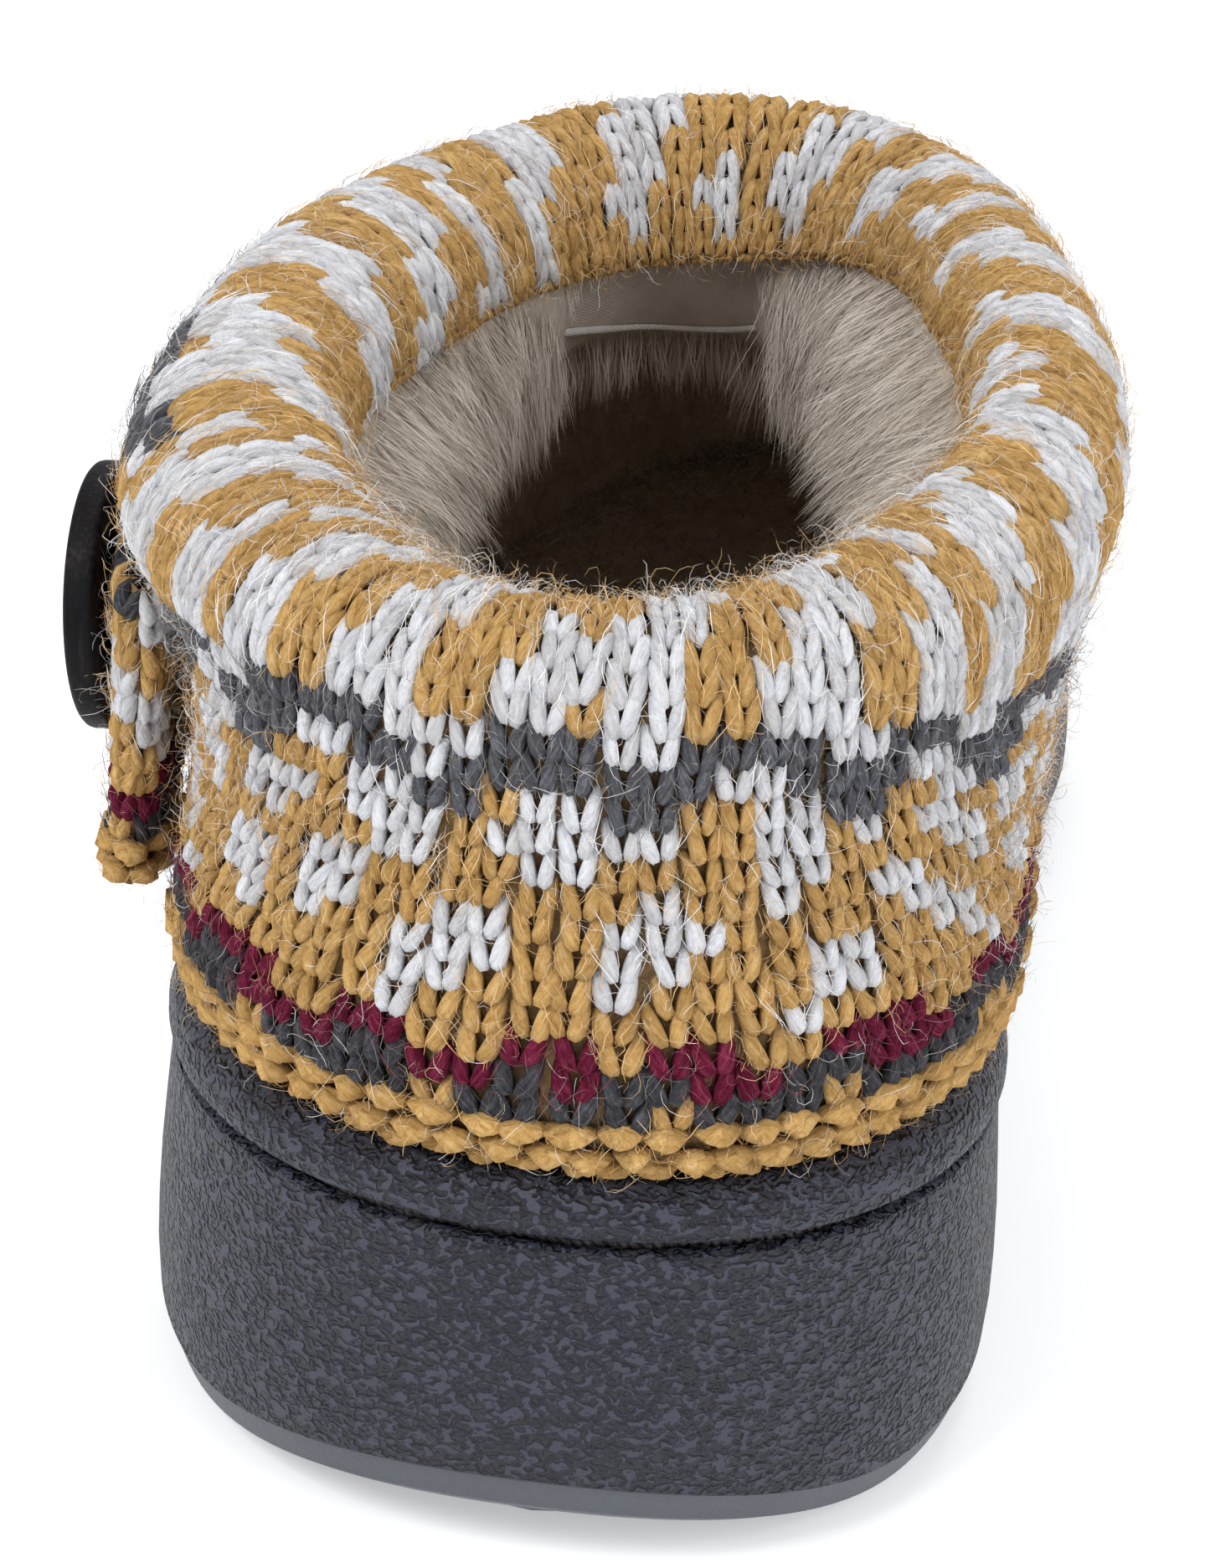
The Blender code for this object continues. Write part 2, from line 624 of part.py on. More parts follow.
def turned(name, profile, segments):
    """A solid turned about Z from (radius, height) pairs that start and end on the axis."""
    inner = profile[1:-1]
    rows = [
        [
            Vector((r * math.cos(2 * math.pi * i / segments), r * math.sin(2 * math.pi * i / segments), z))
            for i in range(segments)
        ]
        for r, z in inner
    ]
    points = flatten(rows) + [Vector((0, 0, profile[0][1])), Vector((0, 0, profile[-1][1]))]
    bottom, top = len(points) - 2, len(points) - 1
    last = (len(inner) - 1) * segments
    faces = band_faces(rows)
    faces += [(bottom, (i + 1) % segments, i) for i in range(segments)]
    faces += [(top, last + i, last + (i + 1) % segments) for i in range(segments)]
    return add_mesh(name, points, faces, math.radians(30))


def add_button():
    """The round sew-through button, flat against the flap."""
    profile = (
        (0, 0),
        (BUTTON_RADIUS * 0.86, 0),
        (BUTTON_RADIUS * 0.97, BUTTON_THICKNESS * 0.22),
        (BUTTON_RADIUS, BUTTON_THICKNESS * 0.55),
        (BUTTON_RADIUS * 0.97, BUTTON_THICKNESS * 0.90),
        (BUTTON_RADIUS * 0.90, BUTTON_THICKNESS),
        (BUTTON_RADIUS * 0.78, BUTTON_THICKNESS * 0.94),
        (BUTTON_RADIUS * 0.66, BUTTON_THICKNESS * 0.70),
        (0, BUTTON_THICKNESS * 0.62),
    )
    button = turned("button", profile, BUTTON_SEGMENTS)
    holes = bpy.data.collections.new("button_holes")
    bpy.context.scene.collection.children.link(holes)
    drill = ((0, -0.002), (BUTTON_HOLE_RADIUS, -0.002), (BUTTON_HOLE_RADIUS, 0.008), (0, 0.008))
    for n in range(4):
        turn = math.pi / 4 + n * math.pi / 2
        hole = turned("hole_shape", drill, 12)
        aside = Vector((math.cos(turn), math.sin(turn), 0)) * BUTTON_HOLE_SPACING
        hole.data.transform(Matrix.Translation(aside))
        hole.hide_render = True
        hole.display_type = "WIRE"
        bpy.context.scene.collection.objects.unlink(hole)
        holes.objects.link(hole)
    cut = button.modifiers.new("holes", "BOOLEAN")
    cut.solver = "EXACT"
    cut.operand_type = "COLLECTION"
    cut.collection = holes
    seat = flap_point(BUTTON_PLACE, BUTTON_HEIGHT, 1.0)
    up = flap_point(BUTTON_PLACE, 0.9, 1.0) - flap_point(BUTTON_PLACE, 0.1, 1.0)
    outwards = up.cross(Vector((0, 1, 0))).normalized()
    turn = outwards.to_track_quat("Z", "Y").to_matrix().to_4x4()
    place = Matrix.Translation(seat + outwards * BUTTON_STANDOFF) @ turn
    button.matrix_world = place
    for hole in holes.objects:
        hole.matrix_world = place
    add_material(button, (0.020, 0.015, 0.016), 0.35)
    return button


def main():
    for obj in list(bpy.data.objects):
        bpy.data.objects.remove(obj)
    slipper = bpy.data.objects.new("slipper", None)
    bpy.context.scene.collection.objects.link(slipper)
    makers = (add_outsole, add_insole, add_upper, add_pile_collar, add_knit_cuff, add_cuff_flap, add_button)
    for add_piece in makers:
        add_piece().parent = slipper


main()
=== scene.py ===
import math
from collections import namedtuple

import bpy
import numpy as np
from mathutils import Matrix, Vector


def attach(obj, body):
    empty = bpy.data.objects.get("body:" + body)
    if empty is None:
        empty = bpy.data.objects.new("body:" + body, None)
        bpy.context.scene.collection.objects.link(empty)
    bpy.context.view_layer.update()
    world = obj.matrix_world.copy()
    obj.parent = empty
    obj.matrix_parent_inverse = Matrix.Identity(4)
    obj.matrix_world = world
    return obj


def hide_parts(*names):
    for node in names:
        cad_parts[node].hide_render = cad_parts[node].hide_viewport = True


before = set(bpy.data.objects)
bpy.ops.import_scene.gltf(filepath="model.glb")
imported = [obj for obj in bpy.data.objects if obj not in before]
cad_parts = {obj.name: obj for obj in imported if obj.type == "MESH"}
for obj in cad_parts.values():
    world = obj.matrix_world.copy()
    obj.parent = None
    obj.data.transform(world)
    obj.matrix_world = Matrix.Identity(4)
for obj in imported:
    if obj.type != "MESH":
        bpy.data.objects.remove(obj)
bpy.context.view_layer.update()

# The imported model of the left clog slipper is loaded. Everything below is in metres: +Y runs from heel to
# toe, +Z is up, and the shoe's outer side, with the flap and the button, is -X
random = np.random.default_rng(23)
print("frame loaded")


soleSizes = {
    "back": -0.046,
    "front": 0.206,
    "cupWall": 0.0050,
    "insoleThickness": 0.0042,
    "slitFadeStart": -0.026,
    "slitFadeEnd": -0.004,
    "lugDepth": 0.0018,
    "lugInset": 0.0034,
    "lugLength": 0.0060,
    "lugPitch": 0.0088,
    "lugChevron": 0.0035,
    "waistBack": 0.040,  # between these two the sole has no tread
    "waistFront": 0.090,
}
soleLength = soleSizes["front"] - soleSizes["back"]
upperSizes = {"wall": 0.0025, "gap": 0.0003}
cuffSizes = {
    "hem": 0.0046,
    "top": 0.0072,
    "sideThinning": 0.0020,
    "lap": 0.0037,
    "inner": 0.0085,
    "innerThinning": 0.0026,
    "drop": 0.054,
    "hemAboveLip": 0.0006,
    "innerDrop": 0.0030,
    "rollHeight": 0.0095,
    "gap": 0.0011,
}
flapSizes = {
    "back": -0.012,
    "front": 0.040,
    "thickness": 0.0046,
    "standoff": 0.0012,
    "top": 0.875,
    "lapStart": 0.90,
    "foot": 0.21,
    "recess": 0.0032,
}
pileSizes = {
    "thickness": 0.0105,
    "sideThickness": 0.0065,
    "frontThickness": 0.0020,
    "gap": 0.0005,
    "frontAngle": 166,
}
heightLines = {  # the footbed, the stitched slit and the top of the lip along the shoe
    "y": (-0.046, 0.000, 0.055, 0.110, 0.155, 0.206),
    "footbed": (0.0220, 0.0205, 0.0175, 0.0130, 0.0130, 0.0230),
    "slit": (0.0350, 0.0320, 0.0240, 0.0190, 0.0185, 0.0280),
    "lip": (0.0409, 0.0390, 0.0335, 0.0280, 0.0270, 0.0350),
}
swing = {  # the middle line of the foot
    "y": (-0.046, 0.000, 0.055, 0.110, 0.160, 0.206),
    "x": (0.0036, 0.0010, -0.0018, -0.0034, -0.0013, 0.0035),
}
shares = (0.17, 0.45, 0.72)  # where along a slice its three half widths are
sliceColumns = "back front zBack zSide zFront heel waist ball roundBack roundFront turn tilt"
LastSlice = namedtuple("LastSlice", sliceColumns)
footprint = LastSlice(-0.046, 0.206, 0, 0, 0, 0.0413, 0.0405, 0.0455, 0.050, 0.072, 0, 0)
upperSlices = (  # from just over the sole to the top edge
    LastSlice(-0.0415, 0.1975, 0.0500, 0.0430, 0.0430, 0.0366, 0.0375, 0.0415, 0.048, 0.064, 0, 0),
    LastSlice(-0.0418, 0.1800, 0.0560, 0.0510, 0.0525, 0.0362, 0.0378, 0.0375, 0.048, 0.062, 0, 0),
    LastSlice(-0.0418, 0.1530, 0.0630, 0.0590, 0.0600, 0.0356, 0.0372, 0.0348, 0.048, 0.062, 0.0010, 0),
    LastSlice(-0.0416, 0.1210, 0.0705, 0.0675, 0.0690, 0.0356, 0.0372, 0.0328, 0.048, 0.062, 0.0025, 0.0005),
    LastSlice(-0.0412, 0.0915, 0.0780, 0.0785, 0.0820, 0.0360, 0.0366, 0.0335, 0.050, 0.064, 0.0042, 0.0012),
    LastSlice(-0.0400, 0.0820, 0.0855, 0.0920, 0.0960, 0.0378, 0.0388, 0.0360, 0.052, 0.065, 0.0064, 0.0018),
)
lipLevel = 1
topLevel = 7
SoleRow = namedtuple("SoleRow", "share lift outset cut pebbled")
soleRows = (
    SoleRow(0.0, 0.0000, -0.0016, 0, 0),
    SoleRow(0.0, 0.0006, -0.0003, 0, 0),
    SoleRow(0.0, 0.0030, 0.0002, 0, 0),
    SoleRow(0.0, 0.0033, 0.0003, 0, 0),
    SoleRow(0.0, 0.0036, 0.0009, 0, 1),
    SoleRow(0.18, 0.0022, 0.0012, 0, 1),
    SoleRow(0.35, 0.0010, 0.0012, 0, 1),
    SoleRow(0.55, 0.0005, 0.0010, 0, 1),
    SoleRow(0.75, 0.0000, 0.0006, 0, 1),
    SoleRow(0.93, -0.0004, 0.0002, 0, 1),
    SoleRow(1.0, -0.0009, 0.0000, 0, 1),
    SoleRow(1.0, -0.0006, -0.0006, 0.0006, 1),
    SoleRow(1.0, -0.0005, -0.0001, 0.0026, 0),
    SoleRow(1.0, 0.0005, 0.0001, 0.0026, 0),
    SoleRow(1.0, 0.0006, -0.0001, 0.0006, 1),
    SoleRow(1.0, 0.0009, 0.0004, 0, 1),
    SoleRow(1.2, 0.0004, 0.0006, 0, 1),
    SoleRow(1.45, 0.0000, 0.0006, 0, 1),
    SoleRow(1.7, 0.0001, 0.0001, 0, 1),
    SoleRow(1.85, 0.0000, -0.0006, 0, 1),
    SoleRow(1.96, 0.0000, -0.0015, 0, 1),
    SoleRow(2.0, 0.0000, -0.0024, 0, 1),
    SoleRow(2.0, -0.0008, -0.0050, 0, 1),
)


def smoothCurve(x, xs, ys):
    xs, ys = np.array(xs, float), np.array(ys, float)
    low = np.maximum(np.arange(len(xs)) - 1, 0)
    high = np.minimum(np.arange(len(xs)) + 1, len(xs) - 1)
    slopes = (ys[high] - ys[low]) / (xs[high] - xs[low])
    x = np.clip(x, xs[0], xs[-1])
    k = np.clip(np.searchsorted(xs, x, side="right") - 1, 0, len(xs) - 2)
    span = xs[k + 1] - xs[k]
    t = (x - xs[k]) / span
    rise = (t**3 - 2 * t**2 + t) * span * slopes[k] + (t**3 - t**2) * span * slopes[k + 1]
    return (2 * t**3 - 3 * t**2 + 1) * ys[k] + (3 * t**2 - 2 * t**3) * ys[k + 1] + rise


def ease(x, start, end):
    t = np.clip((x - start) / (end - start), 0, 1)
    return t * t * (3 - 2 * t)


def unit(vectors):
    return vectors / np.maximum(np.linalg.norm(vectors, axis=-1, keepdims=True), 1e-12)


def endRound(distance, radius, power=2.15):
    t = np.clip(distance / radius, 0, 1)
    return (1 - (1 - t) ** power) ** (1 / power)


def heightAt(y, line):
    return smoothCurve(y, heightLines["y"], heightLines[line])


def undersideAt(y):
    # heel bevel, low arch and toe spring
    heel = 0.0045 * (np.clip(-0.024 - y, 0, None) / 0.022) ** 2
    arch = 0.0020 * np.sin(math.pi * (np.clip(y, 0.044, 0.088) - 0.044) / 0.044) ** 2
    toe = 0.0125 * (np.clip(y - 0.148, 0, None) / 0.058) ** 2
    return heel + arch + toe


def slicePoint(cut, angle):
    # angle 0 is the heel, a quarter turn the outer side, a half turn the toe
    share = (1 - np.cos(angle)) / 2
    y = cut.back + (cut.front - cut.back) * share
    half = smoothCurve(share, shares, (cut.heel, cut.waist, cut.ball))
    half = half * endRound(y - cut.back, cut.roundBack) * endRound(cut.front - y, cut.roundFront)
    side = np.where(np.sin(angle) > 0, -1.0, 1.0)
    z = smoothCurve(share, (0, 0.5, 1), (cut.zBack, cut.zSide, cut.zFront)) - cut.tilt * np.sin(angle)
    x = smoothCurve(y, swing["y"], swing["x"]) + cut.turn * share + side * half
    return np.stack([x, y, z], axis=-1)


def outlinePoint(angle, outset):
    step = 1e-4
    along = slicePoint(footprint, angle + step) - slicePoint(footprint, angle - step)
    outwards = unit(np.stack([-along[..., 1], along[..., 0], 0 * along[..., 0]], axis=-1))
    return slicePoint(footprint, angle) + np.asarray(outset)[..., None] * outwards


def levelPoint(angle, level):
    if level > lipLevel:
        return slicePoint(upperSlices[level - lipLevel - 1], angle)
    point = outlinePoint(angle, -soleSizes["cupWall"] - upperSizes["gap"])
    low, high = heightAt(point[..., 1], "footbed") + upperSizes["gap"], heightAt(point[..., 1], "lip")
    return np.stack([point[..., 0], point[..., 1], low if level == 0 else high], axis=-1)


def upperPoint(angle, level):
    angle, level = np.broadcast_arrays(np.asarray(angle, float), np.asarray(level, float))
    rings = np.stack([levelPoint(angle, k) for k in range(topLevel + 1)])
    k = np.clip(level.astype(int), 0, topLevel - 1)
    t = (level - k)[..., None]

    def at(index):
        return np.take_along_axis(rings, index[None, ..., None], axis=0)[0]

    low, high = at(k), at(k + 1)
    before, after = at(np.maximum(k - 1, lipLevel)), at(np.minimum(k + 2, topLevel))
    rise = (high - before) / 2 * (t**3 - 2 * t**2 + t) + (after - low) / 2 * (t**3 - t**2)
    bent = low * (2 * t**3 - 3 * t**2 + 1) + high * (3 * t**2 - 2 * t**3) + rise
    return np.where((k < lipLevel)[..., None], low + (high - low) * t, bent)


def upperNormal(angle, level):
    step = 1e-3
    low, high = np.maximum(level - step, lipLevel), np.minimum(level + step, topLevel)
    up = upperPoint(angle, high) - upperPoint(angle, low)
    along = upperPoint(angle + step, level) - upperPoint(angle - step, level)
    return unit(np.cross(up, along))


knownLevels = {}


def levelBelowTop(angle, drop):
    angle = np.asarray(angle, float)
    key = (angle.tobytes(), float(drop))
    if key in knownLevels:
        return knownLevels[key]
    step = (topLevel - lipLevel) / 40
    last = upperPoint(angle, topLevel)
    length = np.zeros(angle.shape)
    found = np.full(angle.shape, np.nan)
    for n in range(1, 40):
        point = upperPoint(angle, topLevel - n * step)
        run = np.linalg.norm(point - last, axis=-1)
        share = (drop - length) / run
        lip = heightAt(point[..., 1], "lip") + cuffSizes["hemAboveLip"]
        fall = np.maximum(last[..., 2] - point[..., 2], 1e-9)
        share = np.where(point[..., 2] < lip, np.minimum(share, (last[..., 2] - lip) / fall), share)
        found = np.where(np.isnan(found) & (share < 1), topLevel - (n - 1 + share) * step, found)
        length = length + run
        last = point
    knownLevels[key] = np.where(np.isnan(found), topLevel - 39 * step, found)
    return knownLevels[key]


def flapRecess(angle, rise):
    y = slicePoint(upperSlices[-2], angle)[..., 1]
    back, front = flapSizes["back"], flapSizes["front"]
    around = ease(y, back - 0.016, back) * (1 - ease(y, front - 0.008, front + 0.008))
    held = flapSizes["recess"] * (1 - 0.9 * rise) * around * (1 - ease(rise, flapSizes["lapStart"], 0.98))
    return np.where(np.sin(angle) < 0, 0, held)


def outerSide(angle):
    turned = np.degrees(angle) % 360
    return ease(turned, 20, 62) * (1 - ease(turned, 100, 150))


def cuffThickness(angle, rise):
    thinning = cuffSizes["sideThinning"] * np.clip(-np.sin(angle), 0, None)
    growth = cuffSizes["top"] - thinning - cuffSizes["hem"]
    lap = cuffSizes["lap"] * outerSide(angle) * ease(rise, flapSizes["lapStart"], 0.98)
    return cuffSizes["hem"] + growth * ease(rise, 0.58, 0.98) + lap


def cuffPoint(angle, rise, depth):
    # depth is 0 on the hanging cuff's inner face and 1 on its outer face
    low = levelBelowTop(angle, cuffSizes["drop"])
    level = low + (topLevel - low) * rise
    thickness = cuffThickness(angle, rise) - flapRecess(angle, rise)
    outside = cuffSizes["gap"] + thickness * depth
    return upperPoint(angle, level) + upperNormal(angle, level) * outside[..., None]


def innerLegPoint(angle, share, depth):
    level = topLevel + (levelBelowTop(angle, cuffSizes["innerDrop"]) - topLevel) * share
    thickness = cuffSizes["inner"] - cuffSizes["innerThinning"] * ease((1 - np.cos(angle)) / 2, 0.0, 0.4)
    inside = upperSizes["wall"] + cuffSizes["gap"] + thickness * depth
    return upperPoint(angle, level) - upperNormal(angle, level) * inside[..., None]


def pileThickness(angle):
    turned = np.abs(np.degrees(angle) % 360 - pileSizes["frontAngle"])
    side = (pileSizes["sideThickness"] - pileSizes["frontThickness"]) * ease(turned, 14, 29)
    rest = (pileSizes["thickness"] - pileSizes["sideThickness"]) * ease(turned, 35, 85)
    return pileSizes["frontThickness"] + side + rest


def pilePoint(angle, drop, share):
    # a point in the pile that lies drop below the top edge, at this share of its thickness from the wall
    level = topLevel - (topLevel - levelBelowTop(angle, 0.020)) * drop / 0.020
    depth = upperSizes["wall"] + pileSizes["gap"] + pileThickness(angle) * share
    return upperPoint(angle, level) - upperNormal(angle, level) * depth[..., None]


def rollPoint(angle, turn):
    start, end = cuffPoint(angle, 1.0, 1.0), innerLegPoint(angle, 0.0, 1.0)
    lift = cuffSizes["rollHeight"] * (0.92 + 0.16 * outerSide(angle))
    point = (start + end) / 2 + (start - end) / 2 * math.cos(turn)
    point[..., 2] += lift * math.sin(turn)
    return point


def cuffAngle(y, rise):
    low, high = np.full(y.shape, 0.2), np.full(y.shape, math.pi - 0.2)
    for _ in range(14):
        angle = (low + high) / 2
        foot = levelBelowTop(angle, cuffSizes["drop"])
        short = upperPoint(angle, foot + (topLevel - foot) * rise)[..., 1] < y
        low, high = np.where(short, angle, low), np.where(short, high, angle)
    return (low + high) / 2


def flapEdgePoint(share, rise, standoff):
    share, rise = np.broadcast_arrays(share, rise)
    angle = cuffAngle(flapSizes["back"] + (flapSizes["front"] - flapSizes["back"]) * share, rise)
    foot = levelBelowTop(angle, cuffSizes["drop"])
    level = foot + (topLevel - foot) * rise
    under = 3 * upperSizes["gap"] + cuffSizes["gap"] + cuffThickness(angle, rise) - flapRecess(angle, rise)
    return upperPoint(angle, level) + upperNormal(angle, level) * (under + standoff)[..., None]


def flapPoint(share, rise, depth):
    # share runs from the free edge to the front, rise from the foot to the top, depth outwards
    share, rise, depth = np.broadcast_arrays(share, rise, depth)
    free, sewn = 1 - ease(share, 0.0, 0.45), ease(share, 0.45, 1.0)
    footRise = flapSizes["foot"] * (1 - sewn) + 0.03 * sewn
    top = flapSizes["top"]
    foot = flapEdgePoint(share, footRise, flapSizes["standoff"] * (0.2 + 0.8 * free))
    head = flapEdgePoint(share, top, 0.0)
    snug = flapEdgePoint(share, footRise + (top - footRise) * rise, 0.0)
    beside = flapEdgePoint(share + 0.05, top, 0.0) - flapEdgePoint(share - 0.05, top, 0.0)
    outwards = unit(np.cross(head - foot, beside))
    inside = foot + (head - foot) * rise[..., None]
    inside = inside + (snug - inside) * ease(share, 0.25, 0.75)[..., None]
    return inside + outwards * (flapSizes["thickness"] * (1 - 0.75 * sewn) * depth)[..., None]


def deselectAll():
    if bpy.context.object and bpy.context.object.mode != "OBJECT":
        bpy.ops.object.mode_set(mode="OBJECT")
    bpy.ops.object.select_all(action="DESELECT")


def laidGrid(name, rings):
    # a flat grid is added and laid over the rings
    rows, stations = rings.shape[:2]
    deselectAll()
    bpy.ops.mesh.primitive_grid_add(x_subdivisions=stations - 1, y_subdivisions=rows - 1, size=1)
    piece = bpy.context.object
    piece.name = name
    piece.data.vertices.foreach_set("co", np.ascontiguousarray(rings, np.float32).ravel())
    piece.data.update()
    return piece


def joinEdges(piece, outwards=None):
    # joins the edges that meet, then turns the faces outwards where they need it
    deselectAll()
    bpy.context.view_layer.objects.active = piece
    piece.select_set(True)
    bpy.ops.object.mode_set(mode="EDIT")
    bpy.ops.mesh.select_all(action="SELECT")
    bpy.ops.mesh.remove_doubles(threshold=2e-6)
    if outwards == "flip":
        bpy.ops.mesh.flip_normals()
    if outwards == "solid":
        bpy.ops.mesh.normals_make_consistent(inside=False)
    bpy.ops.object.mode_set(mode="OBJECT")
    bpy.ops.object.shade_smooth()
    piece.select_set(False)
    return piece


def useModifier(piece, kind, **settings):
    deselectAll()
    bpy.context.view_layer.objects.active = piece
    piece.select_set(True)
    modifier = piece.modifiers.new(kind.lower(), kind)
    for key, value in settings.items():
        setattr(modifier, key, value)
    bpy.ops.object.modifier_apply(modifier=modifier.name)
    piece.select_set(False)


def meshFromArrays(name, points, faces, uv=None, tint=None):
    # faces is one array of quads or triangles; uv and tint have one value for each point
    mesh = bpy.data.meshes.new(name)
    corners = faces.shape[1]
    mesh.vertices.add(len(points))
    mesh.vertices.foreach_set("co", np.ascontiguousarray(points, np.float32).ravel())
    mesh.loops.add(faces.size)
    mesh.loops.foreach_set("vertex_index", np.ascontiguousarray(faces, np.int32).ravel())
    mesh.polygons.add(len(faces))
    mesh.polygons.foreach_set("loop_start", np.arange(len(faces), dtype=np.int32) * corners)
    mesh.update(calc_edges=True)
    if uv is not None:
        layer = mesh.uv_layers.new(name="UVMap")
        layer.data.foreach_set("uv", np.ascontiguousarray(uv[faces.ravel()], np.float32).ravel())
    if tint is not None:
        mesh.attributes.new("tint", "FLOAT", "POINT").data.foreach_set("value", np.asarray(tint, np.float32))
    mesh.shade_smooth()
    piece = bpy.data.objects.new(name, mesh)
    bpy.context.scene.collection.objects.link(piece)
    return piece


def finishPiece(piece, material, slotName, *nodes):
    piece.data.materials.clear()
    piece.data.materials.append(material)
    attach(piece, "root")
    if nodes:
        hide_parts(*nodes)
    return piece


def tubes(paths, radii, sides):
    # round tubes along the paths, an array of (tubes, points, 3)
    count, length = paths.shape[:2]
    along = unit(np.gradient(paths, axis=1))
    aside = unit(np.cross(along, np.array([0.31, 0.17, 0.93])))
    above = np.cross(aside, along)
    turn = 2 * math.pi * np.arange(sides) / sides
    radii = np.broadcast_to(radii, (count, length))[..., None, None]
    around = aside[:, :, None] * np.cos(turn)[:, None] + above[:, :, None] * np.sin(turn)[:, None]
    points = paths[:, :, None] + around * radii
    index = np.arange(count * length * sides).reshape(count, length, sides)
    low, high = index[:, :-1], index[:, 1:]
    faces = np.stack([low, np.roll(low, -1, 2), np.roll(high, -1, 2), high], axis=-1).reshape(-1, 4)
    place = np.linspace(0, 1, length)[None, :, None] + np.zeros((count, length, sides))
    ring = (np.arange(sides) / sides)[None, None] + np.zeros((count, length, sides))
    return points.reshape(-1, 3), faces, np.stack([ring, place], axis=-1).reshape(-1, 2)


def newMaterial(name, colour, roughness, sheen=0.0, sheenColour=(1, 1, 1), gloss=0.5):
    material = bpy.data.materials.new(name)
    material.use_nodes = True
    shader = material.node_tree.nodes["Principled BSDF"]
    shader.inputs["Base Color"].default_value = (*colour, 1)
    shader.inputs["Roughness"].default_value = roughness
    shader.inputs["Specular IOR Level"].default_value = gloss
    shader.inputs["Sheen Weight"].default_value = sheen
    shader.inputs["Sheen Roughness"].default_value = 0.45
    shader.inputs["Sheen Tint"].default_value = (*sheenColour, 1)
    return material, material.node_tree, shader


def addNode(tree, kind, inputs=None, **settings):
    node = tree.nodes.new(kind)
    for key, value in settings.items():
        setattr(node, key, value)
    for key, value in (inputs or {}).items():
        if isinstance(value, bpy.types.NodeSocket):
            tree.links.new(value, node.inputs[key])
        else:
            node.inputs[key].default_value = value
    return node


def mathNode(tree, operation, first, second=0.0):
    return addNode(tree, "ShaderNodeMath", {0: first, 1: second}, operation=operation).outputs[0]


def blended(tree, first, second, share):
    # the first pattern by this share and the second by the rest
    part = mathNode(tree, "MULTIPLY", first, share)
    return mathNode(tree, "ADD", part, mathNode(tree, "MULTIPLY", second, round(1 - share, 4)))


def ramp(tree, value, *stops):
    node = addNode(tree, "ShaderNodeValToRGB", {"Fac": value})
    elements = node.color_ramp.elements
    while len(elements) < len(stops):
        elements.new(0.5)
    for element, (place, colour) in zip(elements, stops):
        element.position = place
        element.color = (*colour, 1) if len(colour) == 3 else (colour[0], colour[0], colour[0], 1)
    return node.outputs["Color"]


def mixed(tree, factor, first, second, blend="MIX"):
    node = addNode(tree, "ShaderNodeMix", data_type="RGBA", blend_type=blend)
    colours = [s for s in node.inputs if s.type == "RGBA"]
    factorSocket = node.inputs[0]
    for socket, value in ((factorSocket, factor), (colours[0], first), (colours[1], second)):
        if isinstance(value, bpy.types.NodeSocket):
            tree.links.new(value, socket)
        else:
            socket.default_value = (*value, 1) if isinstance(value, tuple) and len(value) == 3 else value
    return [s for s in node.outputs if s.type == "RGBA"][0]


def noise(tree, vector, scale, detail=3.0, roughness=0.5, distortion=0.0):
    inputs = {"Vector": vector, "Scale": scale, "Detail": detail}
    inputs.update({"Roughness": roughness, "Distortion": distortion})
    return addNode(tree, "ShaderNodeTexNoise", inputs).outputs["Fac"]


def bump(tree, height, distance, strength=1.0, normal=None):
    node = addNode(tree, "ShaderNodeBump", {"Height": height, "Distance": distance, "Strength": strength})
    if normal is not None:
        tree.links.new(normal, node.inputs["Normal"])
    return node.outputs["Normal"]


def objectCoordinates(tree, stretch=(1, 1, 1)):
    place = addNode(tree, "ShaderNodeTexCoord").outputs["Object"]
    return addNode(tree, "ShaderNodeMapping", {"Vector": place, "Scale": stretch}).outputs["Vector"]


def yarnMaterial(name, colour, shade, light):
    # brushed wool: fine fibres along each stitch, lighter and darker strands, a tint for each leg, and
    # painted shade at both ends of each leg where it dives into the knit
    material, tree, shader = newMaterial(name, colour, 1.0, 0.25, light, 0.05)
    uv = addNode(tree, "ShaderNodeUVMap", uv_map="UVMap").outputs["UV"]
    parts = addNode(tree, "ShaderNodeSeparateXYZ", {0: uv})
    around, along = parts.outputs["X"], parts.outputs["Y"]
    tint = addNode(tree, "ShaderNodeAttribute", attribute_name="tint").outputs["Fac"]
    wound = mathNode(tree, "ADD", around, mathNode(tree, "MULTIPLY", along, 0.35))
    streakPlace = addNode(tree, "ShaderNodeCombineXYZ", {0: mathNode(tree, "MULTIPLY", wound, 15.0)})
    tree.links.new(mathNode(tree, "MULTIPLY", along, 2.0), streakPlace.inputs[1])
    tree.links.new(mathNode(tree, "MULTIPLY", tint, 60.0), streakPlace.inputs[2])
    streaks = noise(tree, streakPlace.outputs[0], 1.0, 5.0, 0.7)
    tufts = noise(tree, objectCoordinates(tree), 1100.0, 4.0, 0.7, 0.5)
    both = blended(tree, streaks, tufts, 0.6)
    fibre = ramp(tree, both, (0.36, shade), (0.50, colour), (0.63, light))
    uneven = ramp(tree, tint, (0.0, (0.82, 0.80, 0.78)), (1.0, (1.10, 1.10, 1.10)))
    # both ends of each leg are painted darker as shade
    ends = mathNode(tree, "MULTIPLY", along, mathNode(tree, "SUBTRACT", 1.0, along))
    endShade = ramp(tree, ends, (0.0, (0.52, 0.47, 0.43)), (0.14, (1.0, 1.0, 1.0)))
    toned = mixed(tree, 1.0, fibre, uneven, "MULTIPLY")
    tree.links.new(mixed(tree, 1.0, toned, endShade, "MULTIPLY"), shader.inputs["Base Color"])
    tree.links.new(bump(tree, both, 0.0007, 1.0), shader.inputs["Normal"])
    return material


